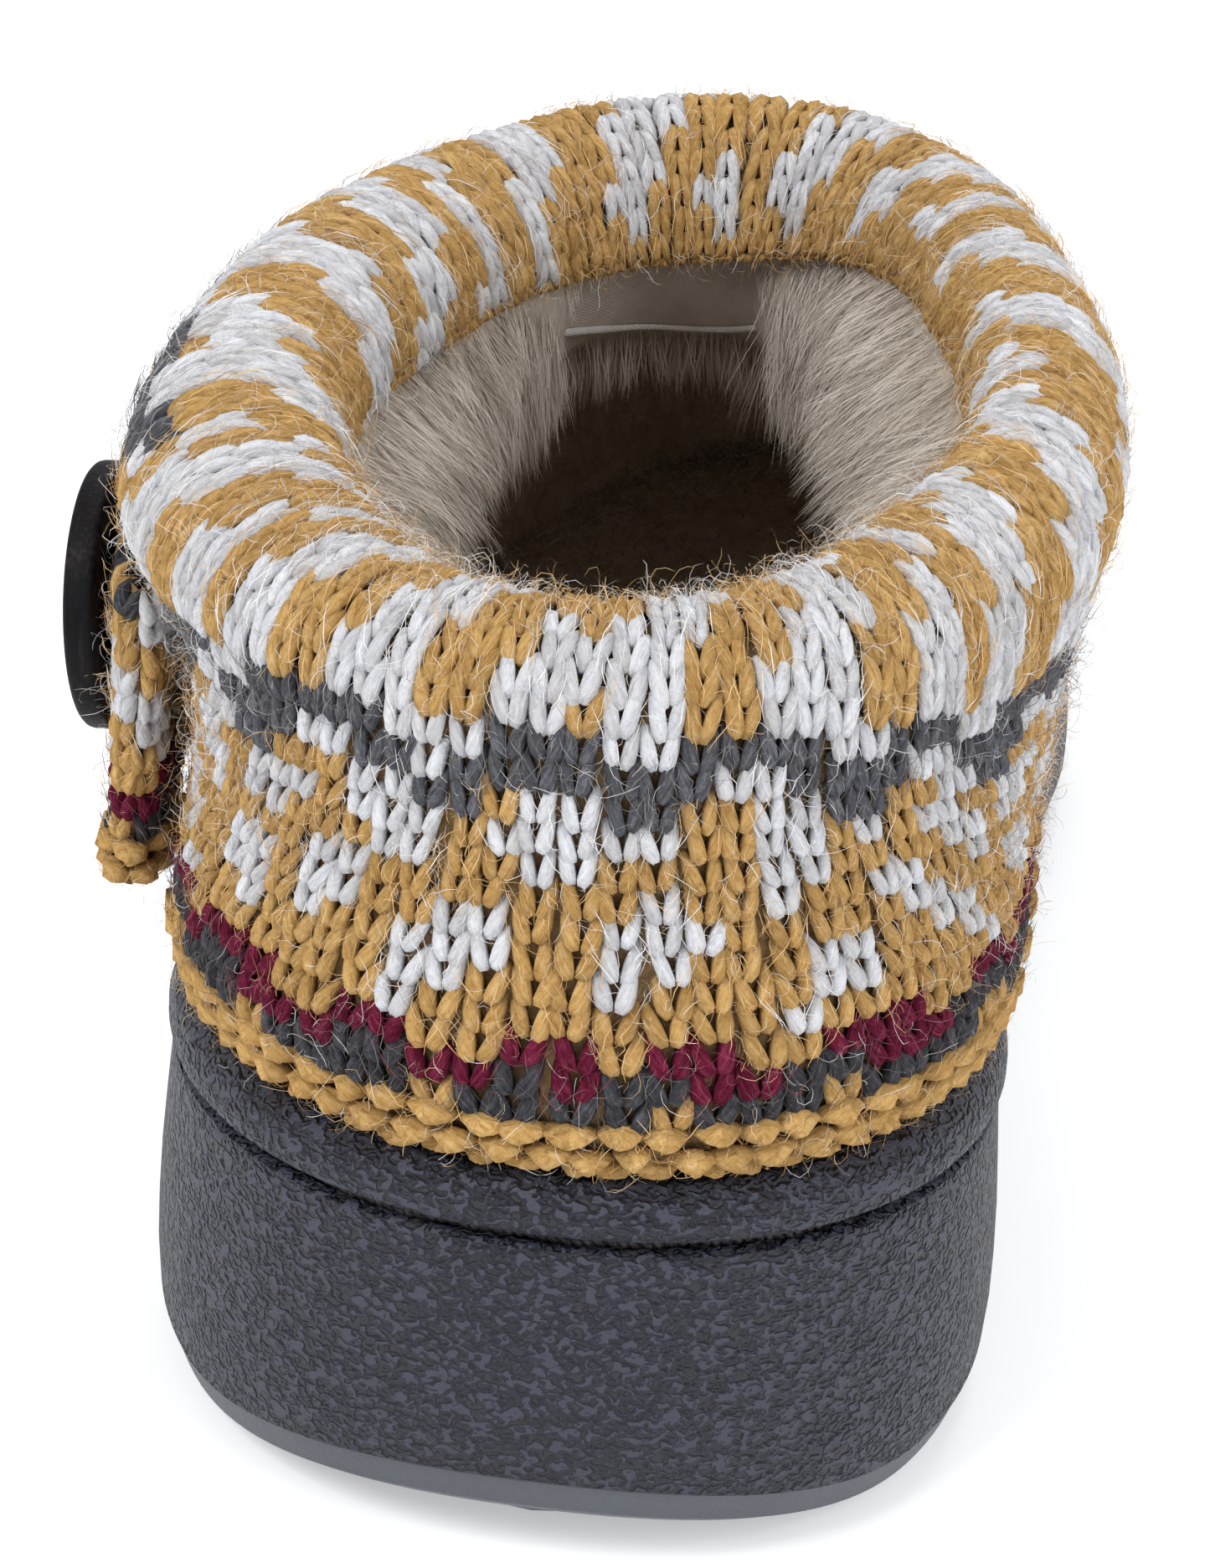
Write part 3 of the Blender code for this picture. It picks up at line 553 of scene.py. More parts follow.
def hairMaterial(name, root, middle, tip, sheen=0.3):
    # a hair: its colour runs from a root painted darker as shade to a tip painted lighter as light, and each
    # hair has a tint of its own, which for the long pile also carries painted shade
    material, tree, shader = newMaterial(name, middle, 0.75, sheen, tip, 0.3)
    uv = addNode(tree, "ShaderNodeUVMap", uv_map="UVMap").outputs["UV"]
    along = addNode(tree, "ShaderNodeSeparateXYZ", {0: uv}).outputs["Y"]
    tint = addNode(tree, "ShaderNodeAttribute", attribute_name="tint").outputs["Fac"]
    # each hair is painted darker at its root as shade and lighter at its tip as painted light
    graded = ramp(tree, along, (0.0, root), (0.45, middle), (1.0, tip))
    uneven = ramp(tree, tint, (0.0, (0.62, 0.57, 0.51)), (0.5, (0.98, 0.97, 0.95)), (1.0, (1.08, 1.08, 1.08)))
    tree.links.new(mixed(tree, 1.0, graded, uneven, "MULTIPLY"), shader.inputs["Base Color"])
    return material


def pileMaterial(name, colour, shade, scale, depth, stretch=(1, 1, 1)):
    # a short matted pile under the hairs, or the felted back of the knit
    material, tree, shader = newMaterial(name, colour, 0.95, 0.4, colour, 0.15)
    place = objectCoordinates(tree, stretch)
    clumps = noise(tree, place, scale, 5.0, 0.6, 0.4)
    fibres = noise(tree, place, scale * 5, 3.0, 0.7)
    both = blended(tree, clumps, fibres, 0.7)
    tree.links.new(ramp(tree, both, (0.32, shade), (0.62, colour)), shader.inputs["Base Color"])
    tree.links.new(bump(tree, both, depth, 1.0), shader.inputs["Normal"])
    return material


def soleMaterial():
    # charcoal foamed rubber: wrinkled pebble grain on the wall, plain where the attribute "pebbled" is 0
    material, tree, shader = newMaterial("charcoalRubber", (0.030, 0.031, 0.040), 0.48)
    place = objectCoordinates(tree, (1.0, 1.0, 1.45))
    pebbled = addNode(tree, "ShaderNodeAttribute", attribute_name="pebbled").outputs["Fac"]
    wrinkles = noise(tree, place, 860.0, 1.0, 0.40, 0.9)
    hills = ramp(tree, wrinkles, (0.34, (0.0,)), (0.58, (1.0,)))
    fine = noise(tree, place, 2600.0, 3.0, 0.6)
    broad = noise(tree, place, 45.0, 3.0, 0.5)
    grain = mathNode(tree, "MULTIPLY", hills, pebbled)
    relief = mathNode(tree, "ADD", grain, mathNode(tree, "MULTIPLY", fine, 0.08))
    tree.links.new(bump(tree, relief, 0.0026, 1.0), shader.inputs["Normal"])
    # the grain's hollows are painted darker as shade and its crests a little lighter as painted light; dust
    # lightens it in broad random patches
    hollowShade, face, crestLight = (0.009, 0.009, 0.014), (0.027, 0.029, 0.048), (0.031, 0.033, 0.055)
    grainShade = ramp(tree, wrinkles, (0.37, hollowShade), (0.43, face), (0.80, crestLight))
    smooth = mixed(tree, broad, (0.060, 0.066, 0.078), (0.100, 0.110, 0.125))
    dust = ramp(tree, broad, (0.40, (0.0,)), (0.80, (0.20,)))
    worn = mixed(tree, dust, grainShade, (0.046, 0.050, 0.077))
    tree.links.new(mixed(tree, pebbled, smooth, worn), shader.inputs["Base Color"])
    rough = mathNode(tree, "ADD", mathNode(tree, "MULTIPLY", fine, 0.22), 0.36)
    tree.links.new(rough, shader.inputs["Roughness"])
    return material


def suedeMaterial():
    # charcoal suede: a short nap brushed in patches
    nap = (0.45, 0.43, 0.45)
    material, tree, shader = newMaterial("charcoalSuede", (0.052, 0.048, 0.050), 0.95, 0.5, nap, 0.15)
    place = objectCoordinates(tree)
    patches = noise(tree, place, 42.0, 4.0, 0.6, 0.6)
    fibres = noise(tree, objectCoordinates(tree, (1.0, 0.55, 1.0)), 1900.0, 4.0, 0.7)
    dark, plain, worn = (0.036, 0.033, 0.035), (0.056, 0.052, 0.054), (0.080, 0.075, 0.078)
    tone = ramp(tree, patches, (0.30, dark), (0.55, plain), (0.75, worn))
    speck = ramp(tree, fibres, (0.30, (0.70, 0.70, 0.70)), (0.70, (1.20, 1.20, 1.20)))
    tree.links.new(mixed(tree, 1.0, tone, speck, "MULTIPLY"), shader.inputs["Base Color"])
    soft = bump(tree, patches, 0.0006, 0.5)
    tree.links.new(bump(tree, fibres, 0.00018, 0.8, soft), shader.inputs["Normal"])
    return material


def woodMaterial():
    # dark matt wood with upright grain
    material, tree, shader = newMaterial("darkWood", (0.008, 0.006, 0.007), 0.55, 0.0, (1, 1, 1), 0.12)
    grain = noise(tree, objectCoordinates(tree, (1.0, 1.0, 0.030)), 2600.0, 4.0, 0.65)
    broad = noise(tree, objectCoordinates(tree, (1.0, 1.0, 0.10)), 330.0, 3.0, 0.5, 0.5)
    both = blended(tree, grain, broad, 0.65)
    dark, plain, worn = (0.002, 0.002, 0.002), (0.006, 0.005, 0.006), (0.034, 0.022, 0.024)
    tree.links.new(ramp(tree, both, (0.36, dark), (0.52, plain), (0.70, worn)), shader.inputs["Base Color"])
    tree.links.new(bump(tree, both, 0.00016, 0.8), shader.inputs["Normal"])
    return material


def threadMaterial(name, colour, light):
    # waxed twisted thread, its turns read from the piece's own UV map
    material, tree, shader = newMaterial(name, colour, 0.5, 0.1, light, 0.4)
    uv = addNode(tree, "ShaderNodeUVMap", uv_map="UVMap").outputs["UV"]
    parts = addNode(tree, "ShaderNodeSeparateXYZ", {0: uv})
    around, along = parts.outputs["X"], parts.outputs["Y"]
    wound = mathNode(tree, "MULTIPLY", around, 12.566)
    turns = mathNode(tree, "ADD", wound, mathNode(tree, "MULTIPLY", along, 900.0))
    ridge = mathNode(tree, "SINE", turns)
    # the crest of each turn of the twist is painted lighter as a highlight
    toned = ramp(tree, mathNode(tree, "MULTIPLY", ridge, 0.5), (0.0, colour), (0.5, light))
    tree.links.new(toned, shader.inputs["Base Color"])
    tree.links.new(bump(tree, ridge, 0.00008, 0.8), shader.inputs["Normal"])
    return material


def buildSole():
    stations = np.linspace(0, 2 * math.pi, 241)

    def soleRing(row):
        plainY = outlinePoint(stations, row.outset)[..., 1]
        slit = 1 - ease(plainY, soleSizes["slitFadeStart"], soleSizes["slitFadeEnd"])
        point = outlinePoint(stations, row.outset - row.cut * slit)
        foot = undersideAt(plainY) + soleSizes["lugDepth"]
        heights = (foot, heightAt(plainY, "slit"), heightAt(plainY, "lip"))
        low = min(int(row.share), 1)
        point[..., 2] = heights[low] + (heights[low + 1] - heights[low]) * (row.share - low) + row.lift
        return point

    def towardsMiddle(ring, share):
        ring = ring.copy()
        middle = smoothCurve(ring[..., 1], swing["y"], swing["x"])
        ring[..., 0] += (middle - ring[..., 0]) * share
        return ring

    walls = [soleRing(row) for row in soleRows]
    floor = outlinePoint(stations, -soleSizes["cupWall"])
    floor[..., 2] = heightAt(floor[..., 1], "footbed")
    rings = [towardsMiddle(walls[0], share) for share in (1.0, 0.66, 0.33)] + walls
    rings += [floor] + [towardsMiddle(floor, share) for share in (0.33, 0.66, 1.0)]
    pebbled = [0, 0, 0] + [row.pebbled for row in soleRows] + [0, 0, 0, 0]
    sole = laidGrid("outsoleMoulded", np.stack(rings))
    layer = sole.data.attributes.new("pebbled", "FLOAT", "POINT")
    layer.data.foreach_set("value", np.repeat(np.array(pebbled, np.float32), len(stations)))
    joinEdges(sole, "solid")
    print("sole made")
    return sole


def halfWidthAt(y, side, inset):
    share = np.clip((y - soleSizes["back"]) / soleLength, 0, 1)
    edge = slicePoint(footprint, side * -np.arccos(1 - 2 * share))
    middle = smoothCurve(y, swing["y"], swing["x"])
    endGap = np.minimum(y - soleSizes["back"], soleSizes["front"] - y)
    half = (edge[..., 0] - middle) * side - inset * (1 + 2 * (1 - ease(endGap, 0.004, 0.034)))
    return middle + side * np.maximum(half, 0.004)


def buildTread(sole):
    # each tread bar is a block stretched across the sole, bent to a chevron, with softened edges
    bars = []
    for n in range(-4, 22):
        barY = n * soleSizes["lugPitch"]
        if soleSizes["waistBack"] < barY < soleSizes["waistFront"]:
            continue
        deselectAll()
        bpy.ops.mesh.primitive_cube_add(size=1, location=(0, 0, 0))
        bar = bpy.context.object
        bpy.ops.object.mode_set(mode="EDIT")
        bpy.ops.mesh.select_all(action="SELECT")
        bpy.ops.mesh.subdivide(number_cuts=7)
        bpy.ops.object.mode_set(mode="OBJECT")
        co = np.array([v.co for v in bar.data.vertices])
        across = co[:, 0] + 0.5
        y = barY + co[:, 1] * soleSizes["lugLength"]
        y = y - soleSizes["lugChevron"] * (1 - 2 * np.abs(across - 0.5)) + soleSizes["lugChevron"] / 2
        left, right = halfWidthAt(y, -1, soleSizes["lugInset"]), halfWidthAt(y, 1, soleSizes["lugInset"])
        z = undersideAt(y) + (co[:, 2] + 0.5) * (soleSizes["lugDepth"] + 0.0010)
        shaped = np.stack([left + (right - left) * across, y, z], axis=1)
        bar.data.vertices.foreach_set("co", shaped.astype(np.float32).ravel())
        bar.data.update()
        softened = {"width": 0.0004, "segments": 2, "limit_method": "ANGLE", "angle_limit": math.radians(50)}
        useModifier(bar, "BEVEL", **softened)
        bar.data.shade_smooth()
        bar.data.attributes.new("pebbled", "FLOAT", "POINT")
        bars.append(bar)
    deselectAll()
    for bar in bars:
        bar.select_set(True)
    sole.select_set(True)
    bpy.context.view_layer.objects.active = sole
    bpy.ops.object.join()
    print("tread made")


def buildSlitCord():
    # a two-ply cord that lies in the slit round the heel
    cord = {"inset": 0.0016, "radius": 0.00042, "ply": 0.00030, "pitch": 0.0021, "end": math.radians(47)}
    angle = np.linspace(-cord["end"], cord["end"], 560)
    middle = outlinePoint(angle, -cord["inset"] + 0 * angle)
    middle[:, 2] = heightAt(middle[:, 1], "slit") + 0.00015 * np.sin(angle * 23) + 0.0001 * np.sin(angle * 61)
    middle[:, 2] += 0.0001
    steps = np.linalg.norm(np.diff(middle, axis=0), axis=1)
    length = np.concatenate([[0], np.cumsum(steps)])
    turn = 2 * math.pi * length / cord["pitch"]
    deeper = outlinePoint(angle, -cord["inset"] - 0.002 + 0 * angle)
    outwards = unit((middle - deeper) * (1, 1, 0))
    paths = []
    for start in (0, math.pi):
        aside = outwards * (np.cos(turn + start) * cord["ply"])[:, None]
        above = np.array([0, 0, 1]) * (np.sin(turn + start) * cord["ply"])[:, None]
        paths.append(middle + aside + above)
    points, faces, uv = tubes(np.stack(paths), cord["radius"], 6)
    piece = meshFromArrays("slitCord", points, faces, uv)
    print("slit cord made")
    return piece


rubber = soleMaterial()
sole = buildSole()
buildTread(sole)
finishPiece(sole, rubber, "outsole", "outsole")
slitThread = threadMaterial("slitThread", (0.010, 0.008, 0.009), (0.040, 0.033, 0.034))
finishPiece(buildSlitCord(), slitThread, "outsole")


liningSizes = {"offset": 0.0007, "lumps": 0.0009, "pileLength": 0.0045, "insoleHairs": 5000}


def buildUpper():
    stations = np.linspace(0, 2 * math.pi, 161)
    levels = [0, 0.5] + list(np.linspace(1, topLevel, 33))
    upper = laidGrid("upperSuede", np.stack([upperPoint(stations, level) for level in levels]))
    joinEdges(upper, "flip")
    useModifier(upper, "SOLIDIFY", thickness=upperSizes["wall"], offset=-1.0)
    upper.data.shade_smooth()
    upper.data.set_sharp_from_angle(angle=math.radians(50))
    print("upper made")
    return upper


def lumpy(points, size, step=0.006):
    # smooth rolling bumps of a matted pile
    wave = np.sin(points[..., 0] / step * 1.7 + 2.1 * np.sin(points[..., 1] / step * 0.8))
    wave = wave * np.sin(points[..., 1] / step * 1.3 + points[..., 2] / step * 1.9)
    return size * (0.6 * wave + 0.4 * np.sin(points[..., 2] / step * 2.7 + points[..., 0] / step * 2.3))


def buildLining():
    # the pile lining, one sheet from under the knit's inner leg to the insole
    stations = np.linspace(0, 2 * math.pi, 193)
    high = levelBelowTop(stations, 0.006)
    low = np.full(stations.shape, 0.16)
    rings = []
    for share in np.linspace(0, 1, 44):
        level = low + (high - low) * share
        point = upperPoint(stations, level)
        inwards = upperNormal(stations, np.maximum(level, lipLevel + 0.01))
        depth = upperSizes["wall"] + liningSizes["offset"] + 0.0006 + lumpy(point, liningSizes["lumps"])
        rings.append(point - inwards * depth[..., None])
    lining = laidGrid("pileLining", np.stack(rings))
    joinEdges(lining)
    print("lining made")
    return lining


def insoleSurface(stations, share):
    inset = soleSizes["cupWall"] + upperSizes["wall"] + 3 * upperSizes["gap"] + 0.0014
    ring = outlinePoint(stations, -inset + 0 * stations)
    middle = smoothCurve(ring[..., 1], swing["y"], swing["x"])
    z = heightAt(ring[..., 1], "footbed") + soleSizes["insoleThickness"] - 0.0006
    x = ring[..., 0] + (middle - ring[..., 0]) * share
    point = np.stack([x, ring[..., 1], z + 0 * x], axis=-1)
    point[..., 2] += (0.0005 * np.minimum(share * 3, 1)) + lumpy(point, 0.0004, 0.005) * min(share * 3, 1)
    return point


def buildInsole():
    stations = np.linspace(0, 2 * math.pi, 181)
    inset = soleSizes["cupWall"] + upperSizes["wall"] + 3 * upperSizes["gap"]
    rings = []
    for rise, more in ((0.0003, 0.0006), (0.0012, 0.0), (0.0026, 0.0), (0.0034, 0.0005)):
        ring = outlinePoint(stations, -inset - more + 0 * stations)
        ring[..., 2] = heightAt(ring[..., 1], "footbed") + rise
        rings.append(ring)
    base = rings[0].copy()
    base[..., 0] = smoothCurve(base[..., 1], swing["y"], swing["x"])
    rings = [base] + rings + [insoleSurface(stations, share) for share in np.linspace(0, 1, 14)]
    insole = laidGrid("insoleCovered", np.stack(rings))
    joinEdges(insole, "solid")
    print("insole made")
    return insole


finishPiece(buildUpper(), suedeMaterial(), "upper", "upper")
creamPile = pileMaterial("creamPile", (0.78, 0.66, 0.53), (0.50, 0.41, 0.32), 260.0, 0.0012)
finishPiece(buildLining(), creamPile, "insole")
finishPiece(buildInsole(), creamPile, "insole", "insole")


knitPlan = {
    "columns": 96,
    "rows": 28,
    "hemRows": 3,
    "samples": 4,  # table points to a stitch, each way
    "columnSize": 0.0042,  # the width and height that a stitch's outline is drawn for
    "rowSize": 0.0031,
    "rollRow": 16,  # the first row of the roll
    "legWidth": 0.00084,
    "legThickness": 0.00078,
    "bulge": -0.00045,
    "dive": 0.0012,
    "unevenness": 0.055,
    "lapShift": 4,  # rows by which the lapping end sits higher
}
# one repeat of the traditional jacquard, from the hem up: m mustard, w white, g grey, c charcoal, b burgundy
knitChart = (
    "mmmmmmmmmmmmmmmmmmmmmmmm",
    "mmmmmmmmmmmmmmmmmmmmmmmm",
    "mmmmmmmmmmmmmmmmmmmmmmmm",
    "ccmccccmcccmmccccmcccmcc",
    "cbbccbbbccbcccbbbccbbccb",
    "bmmbbmmbbbmbbmmbbbmmbbmb",
    "mmmwmmmmmmmwmmmmmmwmmmmm",
    "mmwwmmmmwmmmwmmmwwmmmmwm",
    "mwwwmmwmwwmmwwmmwwmmmwwm",
    "mwwmmwwmwwmmmwwmmmmmwwwm",
    "mmmmmwwmmmmwmmwwmmwmmwmm",
    "wmmwwmmmwwmwwmmmmwwmmmmw",
    "wwmwwwmwwwmmwwmwmwwmmwww",
    "wmggwwmmmggwwmmggwwmmggw",
    "gggwggwwggggwwggggwwgggg",
    "ggwwwgggggwwgggwwggggwwg",
    "wwmmwwwmmwwmwwmmwwwmmwwm",
    "wwmmwwwmmwwmwwmmwwwmmwww",
    "wmmmwwmmmwwmwwmmwwmmmwww",
    "wmmwwwmmwwmmwmmwwwmmwwwm",
    "mmmwwmmmwwmmwmmwwmmmwwmm",
    "mmwwwmmwwwmwmmmwwmmwwwmm",
    "mmwwmmmwwmmwmmwwwmmwwmmm",
    "mwwwmmwwmmmwmmwwmmmwwmmw",
    "mwwmmmwwmmwwmmwmmmwwmmww",
    "mmwmmmwmmmmmmmwmmmmwmmmw",
    "mmmmmmmmmmmmmmmmmmmmmmmm",
)


def evenStations(ringAt, count):
    # angles at equal steps along a ring
    angle = np.linspace(0, 2 * math.pi, 1441)
    ring = ringAt(angle)
    length = np.concatenate([[0], np.cumsum(np.linalg.norm(np.diff(ring, axis=0), axis=1))])
    return np.interp(np.linspace(0, length[-1], count + 1), length, angle)


def evenRows(path, count):
    # resamples each station's run of points into equal steps
    steps = np.linalg.norm(np.diff(path, axis=0), axis=-1)
    length = np.concatenate([np.zeros((1, path.shape[1])), np.cumsum(steps, axis=0)])
    table = np.empty((count + 1, path.shape[1], 3))
    for i in range(path.shape[1]):
        at = np.linspace(0, length[-1, i], count + 1)
        for axis in range(3):
            table[:, i, axis] = np.interp(at, length[:, i], path[:, i, axis])
    return table


def knitTable(path, rows, closed):
    # a table of surface points and outward normals over the knit, softened a little
    table = evenRows(path, rows * knitPlan["samples"])
    for _ in range(3):
        table[1:-1] = (table[:-2] + 2 * table[1:-1] + table[2:]) / 4
    up = np.gradient(table, axis=0)
    if closed:
        around = np.roll(table[:, :-1], -1, 1) - np.roll(table[:, :-1], 1, 1)
        around = np.concatenate([around, around[:, :1]], axis=1)
    else:
        around = np.gradient(table, axis=1)
    return table, unit(np.cross(up, around)), closed


def onTable(knit, column, row, lift):
    # points over the knit surface at stitch column and row, lifted off it
    table, normals, closed = knit
    samples = knitPlan["samples"]
    wide, tall = table.shape[1] - 1, table.shape[0] - 1
    x = column * samples
    x = np.mod(x, wide) if closed else np.clip(x, 0, wide - 1e-6)
    y = np.clip(row * samples, 0, tall - 1e-6)
    overrun = row * samples - y
    i, j = np.minimum(x.astype(int), wide - 1), np.minimum(y.astype(int), tall - 1)
    a, b = (x - i)[..., None], (y - j)[..., None]

    def blend(values):
        low = values[j, i] * (1 - a) + values[j, i + 1] * a
        high = values[j + 1, i] * (1 - a) + values[j + 1, i + 1] * a
        return low * (1 - b) + high * b

    normal = unit(blend(normals))
    point = blend(table)
    return point + normal * (lift - 0.0004 * np.abs(overrun))[..., None], normal


def stitchModel(kind):
    # one stitch as (column, row, lift) points with faces and UVs: the two leaf-shaped legs of a knitted V,
    # fuller ones where the knit is felted, or the two halves of a purled bump for the hem
    plans = {
        "plain": {
            "width": 1.12,
            "column": (0.12, 0.145, 0.19, 0.265, 0.345, 0.395, 0.425),
            "row": (-0.36, -0.25, 0.03, 0.40, 0.80, 1.06, 1.24),
            "swell": (0.0, 0.70, 1.0, 1.0, 0.82, 0.52, 0.0),
            "height": (-0.80, -0.18, 0.10, 0.08, -0.16, -0.62, -1.15),
        },
        "felted": {
            "width": 1.22,
            "column": (0.10, 0.13, 0.18, 0.26, 0.34, 0.40, 0.44),
            "row": (-0.50, -0.34, 0.00, 0.42, 0.86, 1.18, 1.42),
            "swell": (0.0, 0.72, 1.0, 1.0, 0.88, 0.62, 0.0),
            "height": (-0.60, -0.10, 0.08, 0.08, -0.05, -0.35, -0.90),
        },
        "hem": {
            "width": 1.50,
            "column": (-0.24, -0.16, 0.00, 0.16, 0.32, 0.44, 0.52),
            "row": (0.60, 0.62, 0.62, 0.56, 0.43, 0.28, 0.16),
            "swell": (0.0, 1.05, 1.35, 1.32, 1.10, 0.78, 0.0),
            "height": (-0.20, 0.45, 0.70, 0.55, 0.20, -0.40, -0.9),
        },
    }
    plan = plans[kind]
    sides = 5
    columnSize, rowSize = knitPlan["columnSize"], knitPlan["rowSize"]
    s, t = np.array(plan["column"]), np.array(plan["row"])
    lift = knitPlan["bulge"] + np.array(plan["height"]) * knitPlan["dive"]
    alongS, alongT = np.gradient(s) * columnSize, np.gradient(t) * rowSize
    size = np.hypot(alongS, alongT)
    crossS, crossT = alongT / size, -alongS / size
    turn = 2 * math.pi * np.arange(sides) / sides
    points, uv = [(s[0], t[0], lift[0])], [(0.5, 0.0)]
    for n in range(1, len(s) - 1):
        for k in range(sides):
            wide = knitPlan["legWidth"] * plan["width"] * plan["swell"][n] * math.cos(turn[k])
            high = knitPlan["legThickness"] * plan["swell"][n] * math.sin(turn[k])
            besideS, besideT = crossS[n] * wide / columnSize, crossT[n] * wide / rowSize
            points.append((s[n] + besideS, t[n] + besideT, lift[n] + high))
            uv.append((k / sides, n / (len(s) - 1)))
    points.append((s[-1], t[-1], lift[-1]))
    uv.append((0.5, 1.0))
    faces = []
    rings = len(s) - 2
    for n in range(rings - 1):
        for k in range(sides):
            low, high, nextK = 1 + n * sides, 1 + (n + 1) * sides, (k + 1) % sides
            faces.append((low + k, low + nextK, high + nextK))
            faces.append((low + k, high + nextK, high + k))
    last = len(points) - 1
    for k in range(sides):
        nextK = (k + 1) % sides
        faces.append((0, 1 + nextK, 1 + k))
        faces.append((last, last - sides + k, last - sides + nextK))
    points, uv, faces = np.array(points), np.array(uv), np.array(faces)
    mirrored = points * (-1, 1, 1)
    faces = np.concatenate([faces[:, ::-1], faces + len(points)])
    return np.concatenate([points, mirrored]), faces, np.concatenate([uv, uv])


stitchModels = {kind: stitchModel(kind) for kind in ("plain", "felted", "hem")}


def placeStitches(knit, cells, kind):
    # copies the stitch to each (column, row) cell of the knit and joins the copies
    model, faces, uv = stitchModels[kind]
    cells = np.asarray(cells, float)
    count = len(cells)
    if not count:
        return None
    uneven = knitPlan["unevenness"]
    shiftS, shiftT = random.normal(0, uneven, count), random.normal(0, uneven, count)
    lean = random.normal(0, 0.05, count)
    plump = 1 + random.normal(0, 0.05 if kind != "hem" else 0.10, count)
    side = np.sign(np.arange(len(model)) - len(model) / 2 + 0.5)
    legLift = random.normal(0, 0.00010, (count, 2))
    shiftS += 0.07 * np.sin(2.1 * cells[:, 0] + 0.6 * cells[:, 1])
    shiftS += 0.06 * np.sin(0.9 * cells[:, 0] - 1.3 * cells[:, 1])
    if kind == "hem":
        shiftS += 0.5 * (cells[:, 1] % 2)
    s = model[None, :, 0] * plump[:, None] + shiftS[:, None] + lean[:, None] * (model[None, :, 1] - 0.5)
    whichLeg = (side > 0).astype(int)
    t = model[None, :, 1] + shiftT[:, None] + random.normal(0, 0.04, (count, 2))[:, whichLeg]
    lift = model[None, :, 2] + legLift[:, whichLeg]
    points, _ = onTable(knit, cells[:, :1] + 0.5 + s, cells[:, 1:] + t, lift)
    allFaces = (faces[None] + (np.arange(count) * len(model))[:, None, None]).reshape(-1, 3)
    tint = np.repeat(random.random((count, 2)), len(model) // 2, axis=1)
    return points.reshape(-1, 3), allFaces, np.tile(uv, (count, 1)), tint.ravel()


def chartColour(column, row):
    return knitChart[int(min(max(row, 0), len(knitChart) - 1))][int(column) % len(knitChart[0])]


def cuffPath():
    # from under the hem, up the outer leg, over the roll and down the inner leg
    count = knitPlan["columns"] * knitPlan["samples"]
    stations = evenStations(lambda angle: cuffPoint(angle, 0.5, 1.0), count)
    hem = ((0.03, 0.1), (0.0, 0.4), (0.04, 0.72), (0.14, 1.0))
    path = [cuffPoint(stations, rise, depth) for rise, depth in hem]
    path += [cuffPoint(stations, rise, 1.0) for rise in np.linspace(0.2, 1.0, 17)]
    path += [rollPoint(stations, turn) for turn in np.linspace(0.1, math.pi, 18)]
    path += [innerLegPoint(stations, share, 1.0) for share in np.linspace(0.15, 1.0, 6)]
    path += [innerLegPoint(stations, 1.0, 0.6)]
    return np.stack(path)


def flapPath():
    # from behind the free edge, round it, and over the outer face to the front
    width = [(0.26, -0.1), (0.14, -0.1), (0.05, 0.0), (0.012, 0.22), (0.0, 0.5), (0.012, 0.8), (0.05, 1.0)]
    width += [(share, 1.0) for share in np.linspace(0.12, 1.0, 16)]
    rises = np.linspace(-0.03, 1.02, 15)
    share = np.array([w[0] for w in width])[None] + np.zeros((len(rises), 1))
    depth = np.array([w[1] for w in width])[None] + np.zeros((len(rises), 1))
    points = flapPoint(share, rises[:, None] + 0 * share, depth)
    across = np.swapaxes(points, 0, 1)
    total = np.linalg.norm(np.diff(across, axis=0), axis=-1).sum(axis=0).mean()
    columns = int(round(total / knitPlan["columnSize"]))
    return np.swapaxes(evenRows(across, columns * knitPlan["samples"]), 0, 1), columns


def buildKnitBacking(name, knit, sunk, closed):
    # the felted body of the knit, just under its stitches
    table, normals, _ = knit
    rings = table - normals * sunk
    backing = laidGrid(name, rings[::2, ::2] if closed else rings)
    joinEdges(backing, "flip")
    return backing


cuffKnit = knitTable(cuffPath(), knitPlan["rows"], True)
print("cuff surface made")
flapRows = 12
flapTable, flapColumns = flapPath()
flapKnit = knitTable(flapTable, flapRows, False)
print("flap surface made, columns", flapColumns)


def cuffColours():
    # the yarn of each of the cuff's stitches, blank where the flap covers them
    samples = knitPlan["samples"]
    colours = np.full((knitPlan["columns"], knitPlan["rows"]), " ")
    for column, row in np.ndindex(colours.shape):
        middle = int((column + 0.5) * samples)
        onOuter = cuffKnit[0][8, middle, 0] < -0.01
        y = cuffKnit[0][int((row + 0.5) * samples), middle, 1]
        if onOuter and flapSizes["back"] + 0.005 < y < flapSizes["front"] - 0.006 and 5 < row < 14:
            continue
        shift = 0
        if onOuter and y > flapSizes["back"] and row > 13:
            shift = int(round(knitPlan["lapShift"] * (1 - ease(y, 0.020, 0.075))))
        colours[column, row] = chartColour(column, row - shift)
    return colours


# the flap's own repeat, from its hem up
flapChart = (
    "mmmmmm",
    "mmmmmm",
    "cmccmc",
    "bbcbbb",
    "mbbmmb",
    "mmwmmw",
    "wmwwmw",
    "wmmwwm",
    "wwmmww",
    "mwwmmw",
    "mmwwmm",
    "cmwwcm",
)


def flapColours():
    colours = np.full((flapColumns, flapRows), " ")
    for column, row in np.ndindex(colours.shape):
        colours[column, row] = flapChart[row][column % len(flapChart[row])]
    return colours


